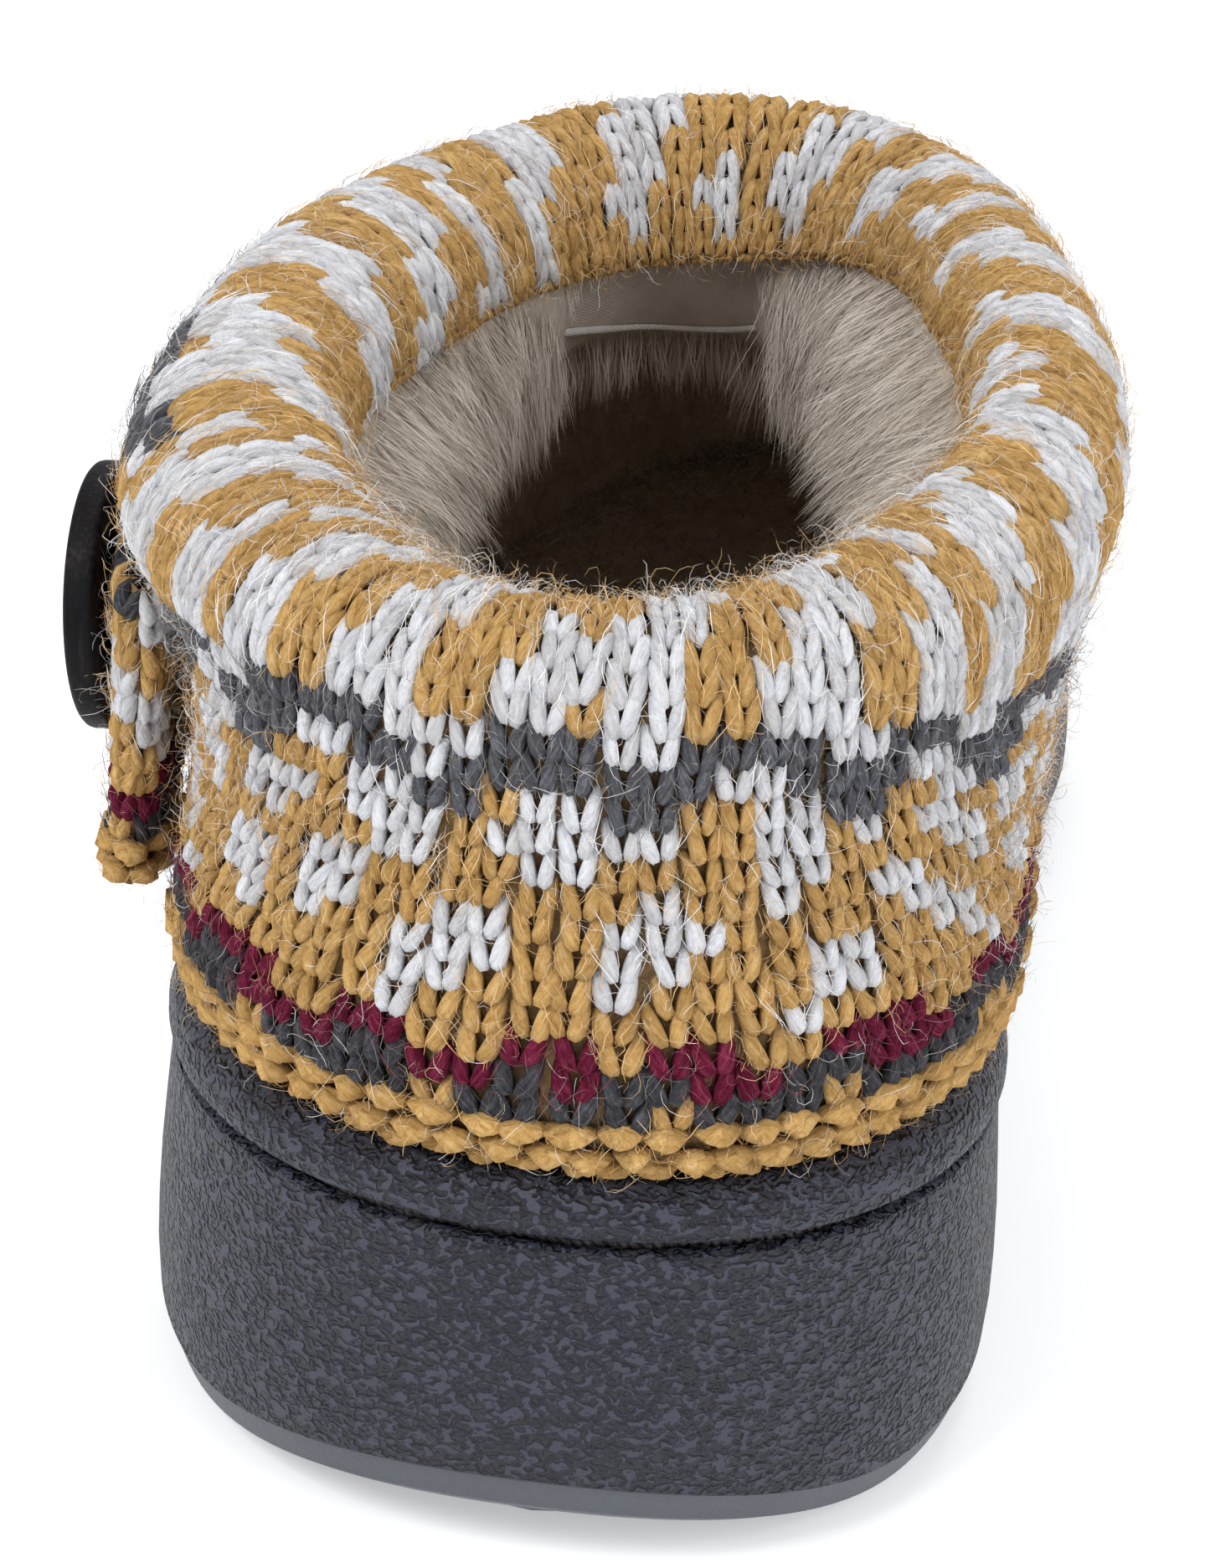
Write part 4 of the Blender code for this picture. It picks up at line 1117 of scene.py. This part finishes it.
yarnOnCuff, yarnOnFlap = cuffColours(), flapColours()
yarnNames = {"m": "mustard", "w": "white", "g": "grey", "c": "charcoal", "b": "burgundy"}
yarns = {
    "m": yarnMaterial("mustardWool", (0.560, 0.335, 0.115), (0.340, 0.185, 0.056), (0.690, 0.465, 0.215)),
    "w": yarnMaterial("whiteWool", (0.730, 0.735, 0.765), (0.540, 0.545, 0.580), (0.850, 0.855, 0.875)),
    "g": yarnMaterial("greyWool", (0.105, 0.107, 0.120), (0.045, 0.046, 0.054), (0.210, 0.212, 0.230)),
    "c": yarnMaterial("charcoalWool", (0.055, 0.055, 0.063), (0.022, 0.022, 0.025), (0.125, 0.124, 0.134)),
    "b": yarnMaterial("burgundyWool", (0.135, 0.012, 0.035), (0.055, 0.005, 0.014), (0.250, 0.038, 0.080)),
}


def joinArrays(parts):
    # several (points, faces, uv, tint) sets as one
    starts = np.cumsum([0] + [len(part[0]) for part in parts[:-1]])
    faces = np.concatenate([part[1] + start for part, start in zip(parts, starts)])
    return [np.concatenate([part[k] for part in parts]) if k != 1 else faces for k in range(4)]


def stitchesOf(knit, cells, hemRows, kind="plain"):
    inHem = cells[:, 1] < hemRows
    parts = [placeStitches(knit, cells[inHem], "hem"), placeStitches(knit, cells[~inHem], kind)]
    return [part for part in parts if part]


def buildStitches():
    total = 0
    for colour, name in yarnNames.items():
        onCuff, onFlap = np.argwhere(yarnOnCuff == colour), np.argwhere(yarnOnFlap == colour)
        onRoll = onCuff[:, 1] >= knitPlan["rollRow"]
        groups = (
            ("Leg", "knit_cuff", stitchesOf(cuffKnit, onCuff[~onRoll], knitPlan["hemRows"])),
            ("Roll", "knit_cuff", stitchesOf(cuffKnit, onCuff[onRoll], 0, "felted")),
            ("Flap", "cuff_flap", stitchesOf(flapKnit, onFlap, 2)),
        )
        for group, slotName, parts in groups:
            if parts:
                piece = meshFromArrays(name + group + "Stitches", *joinArrays(parts))
                finishPiece(piece, yarns[colour], slotName)
                total += len(piece.data.polygons)
    print("stitches made, triangles", total)


# the felted back is a darker brown than the mustard yarn: partly the yarn behind the stitches, partly painted
# shade for the gaps between them
knitBack = pileMaterial("knitBack", (0.300, 0.188, 0.088), (0.120, 0.073, 0.035), 700.0, 0.0009)
finishPiece(buildKnitBacking("knitCuffBody", cuffKnit, 0.00125, True), knitBack, "knit_cuff", "knit_cuff")
finishPiece(buildKnitBacking("flapBody", flapKnit, 0.00110, False), knitBack, "cuff_flap", "cuff_flap")
buildStitches()


fuzzPlan = {
    "fibres": 13500,
    "steps": 6,
    "step": 0.00078,
    "height": 0.0018,
    "width": 0.000020,
    "edgeFibres": 360,  # longer curls on the near edge of the roll
    "edgeStep": 0.0008,
    "edgeHeight": 0.0036,
    "napHairs": 15000,
    "napReach": 1.0,  # in rows
    "napLift": 0.0012,
    "napWidth": 0.000040,
}
pilePlan = {
    "hairs": 30000,
    "length": 0.0050,
    "lengthening": 0.34,  # more length for each metre of the pile's thickness
    "width": 0.000050,
    "lock": 0.0052,
    "ringRadius": 0.052,
    "bareFrom": 141,  # degrees between which the label lies bare
    "bareTo": 190,
}


def ribbons(paths, widths, tint):
    # thin flat strips along the paths, tapering to a point
    count, length = paths.shape[:2]
    along = unit(np.gradient(paths, axis=1))
    facing = unit(random.normal(size=(count, 1, 3)))
    aside = unit(np.cross(along, facing))
    half = aside * np.broadcast_to(widths, (count, length))[..., None]
    points = np.stack([paths - half, paths + half], axis=2)
    index = np.arange(count * length * 2).reshape(count, length, 2)
    low, high = index[:, :-1], index[:, 1:]
    faces = np.stack([low[..., 0], low[..., 1], high[..., 1], high[..., 0]], axis=-1).reshape(-1, 4)
    uv = np.zeros((count, length, 2, 2))
    uv[..., 1] = np.linspace(0, 1, length)[None, :, None]
    uv[:, :, 1, 0] = 1
    tints = np.broadcast_to(tint[:, None, None], (count, length, 2))
    return points.reshape(-1, 3), faces, uv.reshape(-1, 2), tints.reshape(-1)


def curlyFibres(roots, normals, step, height, least=0.20):
    # loose curling fibres that wander over the knit and stay within a height of it, and bend by least or more
    count = len(roots)
    heading = unit(random.normal(size=(count, 3)) + 0.4 * normals)
    axis = unit(random.normal(size=(count, 3)) + normals * random.choice([-1.2, 1.2], (count, 1)))
    bend = random.uniform(least, 0.85, (count, 1))
    stretch = random.uniform(0.6, 1.25, (count, 1))
    reach = height * random.uniform(0.35, 1.5, (count, 1)) ** 2
    point = roots.copy()
    path = [point]
    for _ in range(fuzzPlan["steps"]):
        turned = heading * np.cos(bend) + np.cross(axis, heading) * np.sin(bend)
        heading = unit(turned + random.normal(0, 0.13, (count, 3)))
        raised = ((point - roots) * normals).sum(-1, keepdims=True)
        fix = np.where(raised < 0.0004, 0.55, 0) + np.where(raised > reach, -0.65, 0)
        heading = unit(heading + fix * normals)
        point = point + heading * step * stretch
        path.append(point)
    return np.stack(path, axis=1)


def napFibres(knit, column, row):
    # brushed fibres that follow the leg of their stitch and lift off it in a low arch
    count = len(column)
    side = np.where(np.mod(column, 1) < 0.5, -1.0, 1.0)
    reach = fuzzPlan["napReach"] * random.uniform(0.5, 1.5, count)
    aside = (0.22 * side + random.normal(0, 0.17, count)) * reach
    raised = fuzzPlan["napLift"] * random.uniform(0.1, 1.0, count) ** 1.5
    run = []
    for share, arch in ((0.0, 0.0), (0.35, 0.8), (0.7, 1.0), (1.0, 1.2)):
        sway = random.normal(0, 0.04, count)
        lift = 0.0001 + raised * arch
        run.append(onTable(knit, column + aside * share + sway, row + (share - 0.5) * reach, lift)[0])
    return np.stack(run, axis=1)


def yarnAt(colours, column, row):
    column = np.clip(column.astype(int), 0, colours.shape[0] - 1)
    return colours[column, np.clip(row.astype(int), 0, colours.shape[1] - 1)]


def buildFuzz():
    groups = {key: [] for key in yarnNames}

    def share(colours, paths, widths):
        for key in groups:
            chosen = colours == key
            if chosen.any():
                groups[key].append(ribbons(paths[chosen], widths, random.random(int(chosen.sum()))))

    curlWidths = fuzzPlan["width"] * np.append(np.ones(fuzzPlan["steps"]), 0.3)
    napWidths = fuzzPlan["napWidth"] * np.array([0.5, 1.0, 0.8, 0.15])
    for knit, table, amount in ((cuffKnit, yarnOnCuff, 1.0), (flapKnit, yarnOnFlap, 0.07)):
        columns, rows = table.shape
        count = int(fuzzPlan["fibres"] * amount)
        column, row = random.uniform(0, columns, count), random.uniform(0.1, rows - 0.5, count)
        roots, normals = onTable(knit, column, row, np.full(count, -0.0001))
        colours = yarnAt(table, column, row)
        colours = np.where((random.random(count) < 0.28) & (colours != " "), "w", colours)
        share(colours, curlyFibres(roots, normals, fuzzPlan["step"], fuzzPlan["height"]), curlWidths)
        count = int(fuzzPlan["napHairs"] * amount)
        column, row = random.uniform(0, columns, count), random.uniform(0.0, rows - 0.2, count)
        share(yarnAt(table, column, row), napFibres(knit, column, row), napWidths)
    count = fuzzPlan["edgeFibres"]
    column, row = random.uniform(-17, 14, count) % knitPlan["columns"], random.uniform(18.5, 24.0, count)
    roots, normals = onTable(cuffKnit, column, row, np.full(count, 0.0))
    curls = curlyFibres(roots, normals, fuzzPlan["edgeStep"], fuzzPlan["edgeHeight"], 0.5)
    share(np.where(random.random(count) < 0.35, "w", "m"), curls, 0.75 * curlWidths)
    total = 0
    for key, name in yarnNames.items():
        piece = meshFromArrays(name + "Fuzz", *joinArrays(groups[key]))
        finishPiece(piece, fuzzHair[key], "knit_cuff")
        total += 2 * len(piece.data.polygons)
    print("fuzz made, triangles", total)


fuzzHair = {
    "m": hairMaterial("mustardFibre", (0.56, 0.33, 0.115), (0.70, 0.45, 0.20), (0.80, 0.60, 0.36)),
    "w": hairMaterial("whiteFibre", (0.68, 0.68, 0.70), (0.78, 0.77, 0.77), (0.84, 0.82, 0.79)),
    "g": hairMaterial("greyFibre", (0.110, 0.110, 0.120), (0.19, 0.19, 0.20), (0.32, 0.31, 0.31)),
    "c": hairMaterial("charcoalFibre", (0.060, 0.060, 0.065), (0.12, 0.12, 0.12), (0.24, 0.22, 0.20)),
    "b": hairMaterial("burgundyFibre", (0.140, 0.014, 0.038), (0.22, 0.040, 0.065), (0.34, 0.13, 0.12)),
}
buildFuzz()


pileFaceLine = {  # the share of the pile's thickness at which its matted body ends, down from the top edge
    "drop": (0.0042, 0.0070, 0.0105, 0.0195, 0.0235, 0.0300),
    "share": (0.58, 0.74, 0.86, 0.93, 0.78, 0.56),
}


def pileFace(drop):
    return np.interp(drop, pileFaceLine["drop"], pileFaceLine["share"])


def buildPileBody():
    # the matted body of the long pile, a ring with a soft, lumpy face
    stations = np.linspace(0, 2 * math.pi, 241)
    upperDrops = (0.0042, 0.0055, 0.0070, 0.0088, 0.0105, 0.0128, 0.0150)
    lowerDrops = (0.0172, 0.0195, 0.0215, 0.0235, 0.0260, 0.0285)
    rings = []
    for drop in upperDrops + lowerDrops:
        face = pilePoint(stations, drop, pileFace(drop))
        bulge = lumpy(face, 0.0005, 0.005) * np.minimum(pileThickness(stations) / 0.006, 1)
        rings.append(face - upperNormal(stations, np.full(stations.shape, 6.2)) * bulge[:, None])
    rings += [pilePoint(stations, drop, 0.05) for drop in (0.0270, 0.0200, 0.0120, 0.0044)]
    body = laidGrid("pileBody", np.stack(rings + rings[:1]))
    joinEdges(body, "solid")
    print("pile body made")
    return body


def buildLongPile():
    # long combed hairs that sweep inwards and down, gather in soft locks and leave the label bare
    count = pilePlan["hairs"]
    angle, drop = random.uniform(0, 2 * math.pi, count), random.uniform(0.0030, 0.0285, count)
    drop = np.where(random.random(count) < 0.28, random.uniform(0.0030, 0.0090, count), drop)
    turned = np.degrees(angle)
    start, end = pilePlan["bareFrom"], pilePlan["bareTo"]
    bare = ease(turned, start - 4, start + 3) * (1 - ease(turned, end - 3, end + 4))
    fringe = drop < 0.0042 + 0.0070 * (np.abs(turned - (start + end) / 2) / 25) ** 2
    hangs = (drop > 0.0185) & (random.random(count) < 0.8)
    keep = (bare < random.random(count)) | fringe | hangs
    angle, drop, turned, bare, fringe = angle[keep], drop[keep], turned[keep], bare[keep], fringe[keep]
    count = len(angle)
    hanging = 1 - ease(np.abs(turned - (start + end) / 2), 26, 62)
    thickness = pileThickness(angle)
    root = pilePoint(angle, drop, 0.90 * pileFace(drop))
    level = topLevel - (topLevel - levelBelowTop(angle, 0.020)) * drop / 0.020
    inwards = -upperNormal(angle, level)
    along = unit(np.cross(inwards, np.array([0.0, 0, 1])))
    down = np.array([0.0, 0.0, -1.0])
    around = angle * pilePlan["ringRadius"]
    lock = np.floor(around / pilePlan["lock"]).astype(int)
    tier = np.floor(drop / pilePlan["lock"] + 0.5 * (lock % 2)).astype(int)
    lockSway = np.random.default_rng(5).normal(size=(4096, 4))[(lock * 41 + tier) % 4096]
    pull = ((lock + 0.5) * pilePlan["lock"] - around) * 0.30
    length = (pilePlan["length"] + pilePlan["lengthening"] * thickness) * random.uniform(0.75, 1.15, count)
    length = length * (1 - 0.45 * bare * fringe)
    out = (0.62 - 0.42 * hanging) * random.uniform(0.5, 1.4, count) + 0.05 * lockSway[:, 0]
    fall = 0.46 + 0.40 * hanging + 0.06 * lockSway[:, 2]
    sway = 0.16 * lockSway[:, 1] + random.normal(0, 0.14, count)
    share = np.linspace(0, 1, 5)
    heading = inwards * out[:, None] + along * sway[:, None] + down * fall[:, None]
    droop = down * random.uniform(0.00, 0.30, (count, 1))
    path = root[:, None] + length[:, None, None] * (
        heading[:, None] * share[None, :, None] + droop[:, None] * (share**1.9)[None, :, None]
    )
    wave = np.sin(share[None] * random.uniform(2, 5, (count, 1)) + random.uniform(0, 6.28, (count, 1)))
    aside = (wave * 0.00025 + pull[:, None] * share[None]) * share[None]
    path = path - along[:, None] * aside[..., None]
    widths = pilePlan["width"] * np.array([1.0, 1.0, 0.8, 0.5, 0.1])
    # hairs lower down in the pile and those hanging beside the label are painted darker as shade; each lock
    # also has a random tone of its own
    shade = 0.72 - 16 * drop * (1 - bare) - 0.20 * bare * ~fringe + 0.10 * lockSway[:, 3]
    tint = np.clip(shade + random.normal(0, 0.15, count), 0, 1)
    total = 0
    for name, chosen in (("longPileOuter", np.sin(angle) > 0), ("longPileInner", np.sin(angle) <= 0)):
        piece = meshFromArrays(name, *ribbons(path[chosen], widths, tint[chosen]))
        finishPiece(piece, pileHair, "pile_collar")
        total += 2 * len(piece.data.polygons)
    print("long pile made, triangles", total)


def buildInsolePile():
    # short pile over the insole
    count = liningSizes["insoleHairs"]
    angle = random.uniform(0, 2 * math.pi, count)
    share = 1 - np.sqrt(random.uniform(0.0, 1.0, count))
    points = np.stack([insoleSurface(np.array([a]), float(s))[0] for a, s in zip(angle, share)])
    heading = unit(random.normal(size=(count, 3)) * (1, 1, 0) + (0, 0.4, 1.1))
    bend = unit(random.normal(size=(count, 3)) * (1, 1, 0) + (0, 0.5, 0))
    steps = np.linspace(0, 1, 4)
    length = liningSizes["pileLength"] * random.uniform(0.6, 1.2, count)
    path = points[:, None] + length[:, None, None] * (
        heading[:, None] * steps[None, :, None] * 0.7 + bend[:, None] * (steps**2)[None, :, None] * 0.7
    )
    made = ribbons(path, 0.00009 * np.array([1, 0.9, 0.7, 0.15]), random.random(count))
    piece = meshFromArrays("insolePile", *made)
    finishPiece(piece, pileHair, "insole")
    print("insole pile made, triangles", 2 * len(made[1]))


pileHair = hairMaterial("pileHair", (0.42, 0.36, 0.30), (0.64, 0.57, 0.50), (0.80, 0.75, 0.68), 0.35)
pileBody = pileMaterial("pileGround", (0.52, 0.46, 0.40), (0.34, 0.29, 0.24), 420.0, 0.0010, (1.0, 1.0, 0.3))
finishPiece(buildPileBody(), pileBody, "pile_collar", "pile_collar")
buildLongPile()
buildInsolePile()


labelPlan = {
    "top": 0.0046,
    "edgeAngles": (136, 148, 160, 178, 196),  # degrees, from the outer side across the front
    "edgeDrops": (0.0124, 0.0142, 0.0160, 0.0164, 0.0154),
    "depth": 0.0024,
    "thickness": 0.0005,
    "piping": 0.00062,
}


def buildLabel():
    # a bare woven patch on the front of the lining, with a piped lower edge
    columns, rows = 49, 15
    turned = np.linspace(labelPlan["edgeAngles"][0], labelPlan["edgeAngles"][-1], columns)
    angle = np.radians(turned)
    foot = smoothCurve(turned, labelPlan["edgeAngles"], labelPlan["edgeDrops"])
    rings = []
    for share in np.linspace(0, 1, rows):
        drop = foot + (labelPlan["top"] - foot) * share
        ripple = 0.0003 * np.sin(np.linspace(0, 11, columns) + 3 * share)
        lift = labelPlan["depth"] + 0.0006 * (1 - share) + ripple
        rings.append(pilePoint(angle, drop, lift / pileThickness(angle)))
    patch = laidGrid("labelPatch", np.stack(rings))
    joinEdges(patch)
    useModifier(patch, "SOLIDIFY", thickness=labelPlan["thickness"], offset=0.0)
    points, faces, uv = tubes(rings[0][None], labelPlan["piping"], 8)
    piping = meshFromArrays("labelPiping", points, faces, uv)
    print("label made")
    return patch, piping


def clothMaterial(name, colour, shade):
    # close woven cloth
    material, tree, shader = newMaterial(name, colour, 0.85, 0.3, colour, 0.2)
    place = objectCoordinates(tree)
    parts = addNode(tree, "ShaderNodeSeparateXYZ", {0: place})
    warpThreads = mathNode(tree, "SINE", mathNode(tree, "MULTIPLY", parts.outputs["X"], 14000.0))
    weftThreads = mathNode(tree, "SINE", mathNode(tree, "MULTIPLY", parts.outputs["Z"], 14000.0))
    weave = mathNode(tree, "MULTIPLY", warpThreads, weftThreads)
    soil = noise(tree, place, 160.0, 4.0, 0.6)
    tree.links.new(ramp(tree, soil, (0.3, shade), (0.65, colour)), shader.inputs["Base Color"])
    tree.links.new(bump(tree, weave, 0.00006, 0.7), shader.inputs["Normal"])
    return material


patch, piping = buildLabel()
finishPiece(patch, clothMaterial("labelCloth", (0.46, 0.405, 0.360), (0.34, 0.29, 0.25)), "pile_collar")
finishPiece(piping, clothMaterial("pipingCloth", (0.66, 0.64, 0.63), (0.52, 0.50, 0.48)), "pile_collar")


buttonPlan = {
    "radius": 0.0131,
    "thickness": 0.0031,
    "holeRadius": 0.0012,
    "holeSpacing": 0.0026,
    "place": 0.31,
    "height": 0.72,
    "standoff": 0.0004,
}


def buildButton():
    radius, thickness = buttonPlan["radius"], buttonPlan["thickness"]
    deselectAll()
    middle = (0, 0, thickness / 2)
    bpy.ops.mesh.primitive_cylinder_add(vertices=72, radius=radius, depth=thickness, location=middle)
    button = bpy.context.object
    button.name = "buttonTurned"
    bpy.ops.object.transform_apply(location=True, rotation=True, scale=True)
    bpy.ops.object.mode_set(mode="EDIT")
    bpy.ops.mesh.select_mode(type="FACE")
    bpy.ops.mesh.select_all(action="DESELECT")
    bpy.ops.object.mode_set(mode="OBJECT")
    for face in button.data.polygons:
        face.select = face.normal.z > 0.9
    bpy.ops.object.mode_set(mode="EDIT")
    bpy.ops.mesh.inset(thickness=radius * 0.20)
    bpy.ops.mesh.inset(thickness=radius * 0.10)
    bpy.ops.transform.translate(value=(0, 0, -thickness * 0.34))
    bpy.ops.mesh.inset(thickness=radius * 0.25)
    bpy.ops.transform.translate(value=(0, 0, -thickness * 0.04))
    bpy.ops.object.mode_set(mode="OBJECT")
    softened = {"width": 0.0007, "segments": 3, "limit_method": "ANGLE", "angle_limit": math.radians(35)}
    useModifier(button, "BEVEL", **softened)
    drills = []
    for n in range(4):
        turn = math.pi / 4 + n * math.pi / 2
        at = (buttonPlan["holeSpacing"] * math.cos(turn), buttonPlan["holeSpacing"] * math.sin(turn), 0.002)
        hole = {"vertices": 24, "radius": buttonPlan["holeRadius"], "depth": 0.012}
        deselectAll()
        bpy.ops.mesh.primitive_cylinder_add(location=at, **hole)
        drills.append(bpy.context.object)
    for drill in drills:
        useModifier(button, "BOOLEAN", object=drill, operation="DIFFERENCE", solver="EXACT")
        bpy.data.objects.remove(drill)
    button.data.shade_smooth()
    button.data.set_sharp_from_angle(angle=math.radians(38))
    threads = []
    spacing = buttonPlan["holeSpacing"] * math.cos(math.pi / 4)
    sag = np.linspace(0, math.pi, 15)
    for side in (-1, 1):
        for strand in (-0.00042, 0.0, 0.00042):
            y = -np.cos(sag) * (spacing + 0.0003)
            z = thickness * 0.40 + 0.00085 * np.sin(sag) ** 0.7 - 0.0016 * (np.abs(np.cos(sag)) ** 6)
            threads.append(np.stack([side * spacing + strand + 0.0001 * np.sin(sag * 3), y, z], axis=1))
    points, faces, uv = tubes(np.stack(threads), 0.00026, 7)
    thread = meshFromArrays("buttonThread", points, faces, uv)

    def onFlap(rise):
        return flapPoint(np.array([buttonPlan["place"]]), np.array([rise]), np.array([1.0]))[0]

    seat, up = onFlap(buttonPlan["height"]), onFlap(0.9) - onFlap(0.1)
    outwards = Vector(unit(np.cross(up, (0.0, 1.0, 0.0))))
    matrix = Matrix.Translation(Vector(seat) + outwards * buttonPlan["standoff"])
    matrix = matrix @ outwards.to_track_quat("Z", "Y").to_matrix().to_4x4()
    for piece in (button, thread):
        piece.data.transform(matrix)
        piece.matrix_world = Matrix.Identity(4)
    print("button made")
    return button, thread


button, buttonThread = buildButton()
finishPiece(button, woodMaterial(), "button", "button")
buttonYarn = threadMaterial("buttonYarn", (0.012, 0.011, 0.012), (0.045, 0.042, 0.045))
finishPiece(buttonThread, buttonYarn, "button")


studio = {
    "worldColour": (0.93, 0.96, 1.0),
    "worldStrength": 0.62,
    "floorColour": (0.82, 0.83, 0.84),
    "floorGlow": 0.38,
    "azimuth": 6.72,
    "elevation": 24.2,
    "distance": 0.4495,
    "target": (0.0002, 0.010, 0.0553),
    "roll": 3.49,
    "lens": 103.8,
}
studioLights = (  # place, size, power
    ((-0.45, -0.55, 0.75), 0.38, 5.2),
    ((0.60, -0.45, 0.55), 0.45, 2.8),
    ((0.05, 0.55, 0.85), 0.50, 2.6),
)


def buildStudio():
    deselectAll()
    bpy.ops.mesh.primitive_plane_add(size=6, location=(0, 0, 0))
    floor = bpy.context.object
    floor.name = "studioFloor"
    floorMaterial, _, floorShader = newMaterial("paleFloor", studio["floorColour"], 0.8)
    floorShader.inputs["Emission Color"].default_value = (1, 1, 1, 1)
    floorShader.inputs["Emission Strength"].default_value = studio["floorGlow"]
    floor.data.materials.append(floorMaterial)
    world = bpy.data.worlds.new("studioWorld")
    world.use_nodes = True
    world.node_tree.nodes["Background"].inputs["Color"].default_value = (*studio["worldColour"], 1)
    world.node_tree.nodes["Background"].inputs["Strength"].default_value = studio["worldStrength"]
    bpy.context.scene.world = world
    target = Vector(studio["target"])
    for n, (place, size, power) in enumerate(studioLights):
        data = bpy.data.lights.new(f"softbox{n + 1}", "AREA")
        data.size = size
        data.energy = power
        lamp = bpy.data.objects.new(data.name, data)
        lamp.location = place
        lamp.rotation_euler = (target - Vector(place)).to_track_quat("-Z", "Y").to_euler()
        bpy.context.scene.collection.objects.link(lamp)
    azimuth, elevation = math.radians(studio["azimuth"]), math.radians(studio["elevation"])
    level = math.cos(elevation)
    away = Vector((math.sin(azimuth) * level, -math.cos(azimuth) * level, math.sin(elevation)))
    data = bpy.data.cameras.new("photoCamera")
    data.sensor_fit = "VERTICAL"
    data.sensor_height = 36
    data.lens = studio["lens"]
    data.clip_start = 0.01
    camera = bpy.data.objects.new("photoCamera", data)
    look = (-away).to_track_quat("-Z", "Y").to_matrix().to_4x4()
    roll = Matrix.Rotation(math.radians(studio["roll"]), 4, "Z")
    camera.matrix_world = Matrix.Translation(target + away * studio["distance"]) @ look @ roll
    bpy.context.scene.collection.objects.link(camera)
    bpy.context.scene.camera = camera
    bpy.context.scene.view_settings.view_transform = "Standard"
    print("studio made")


buildStudio()
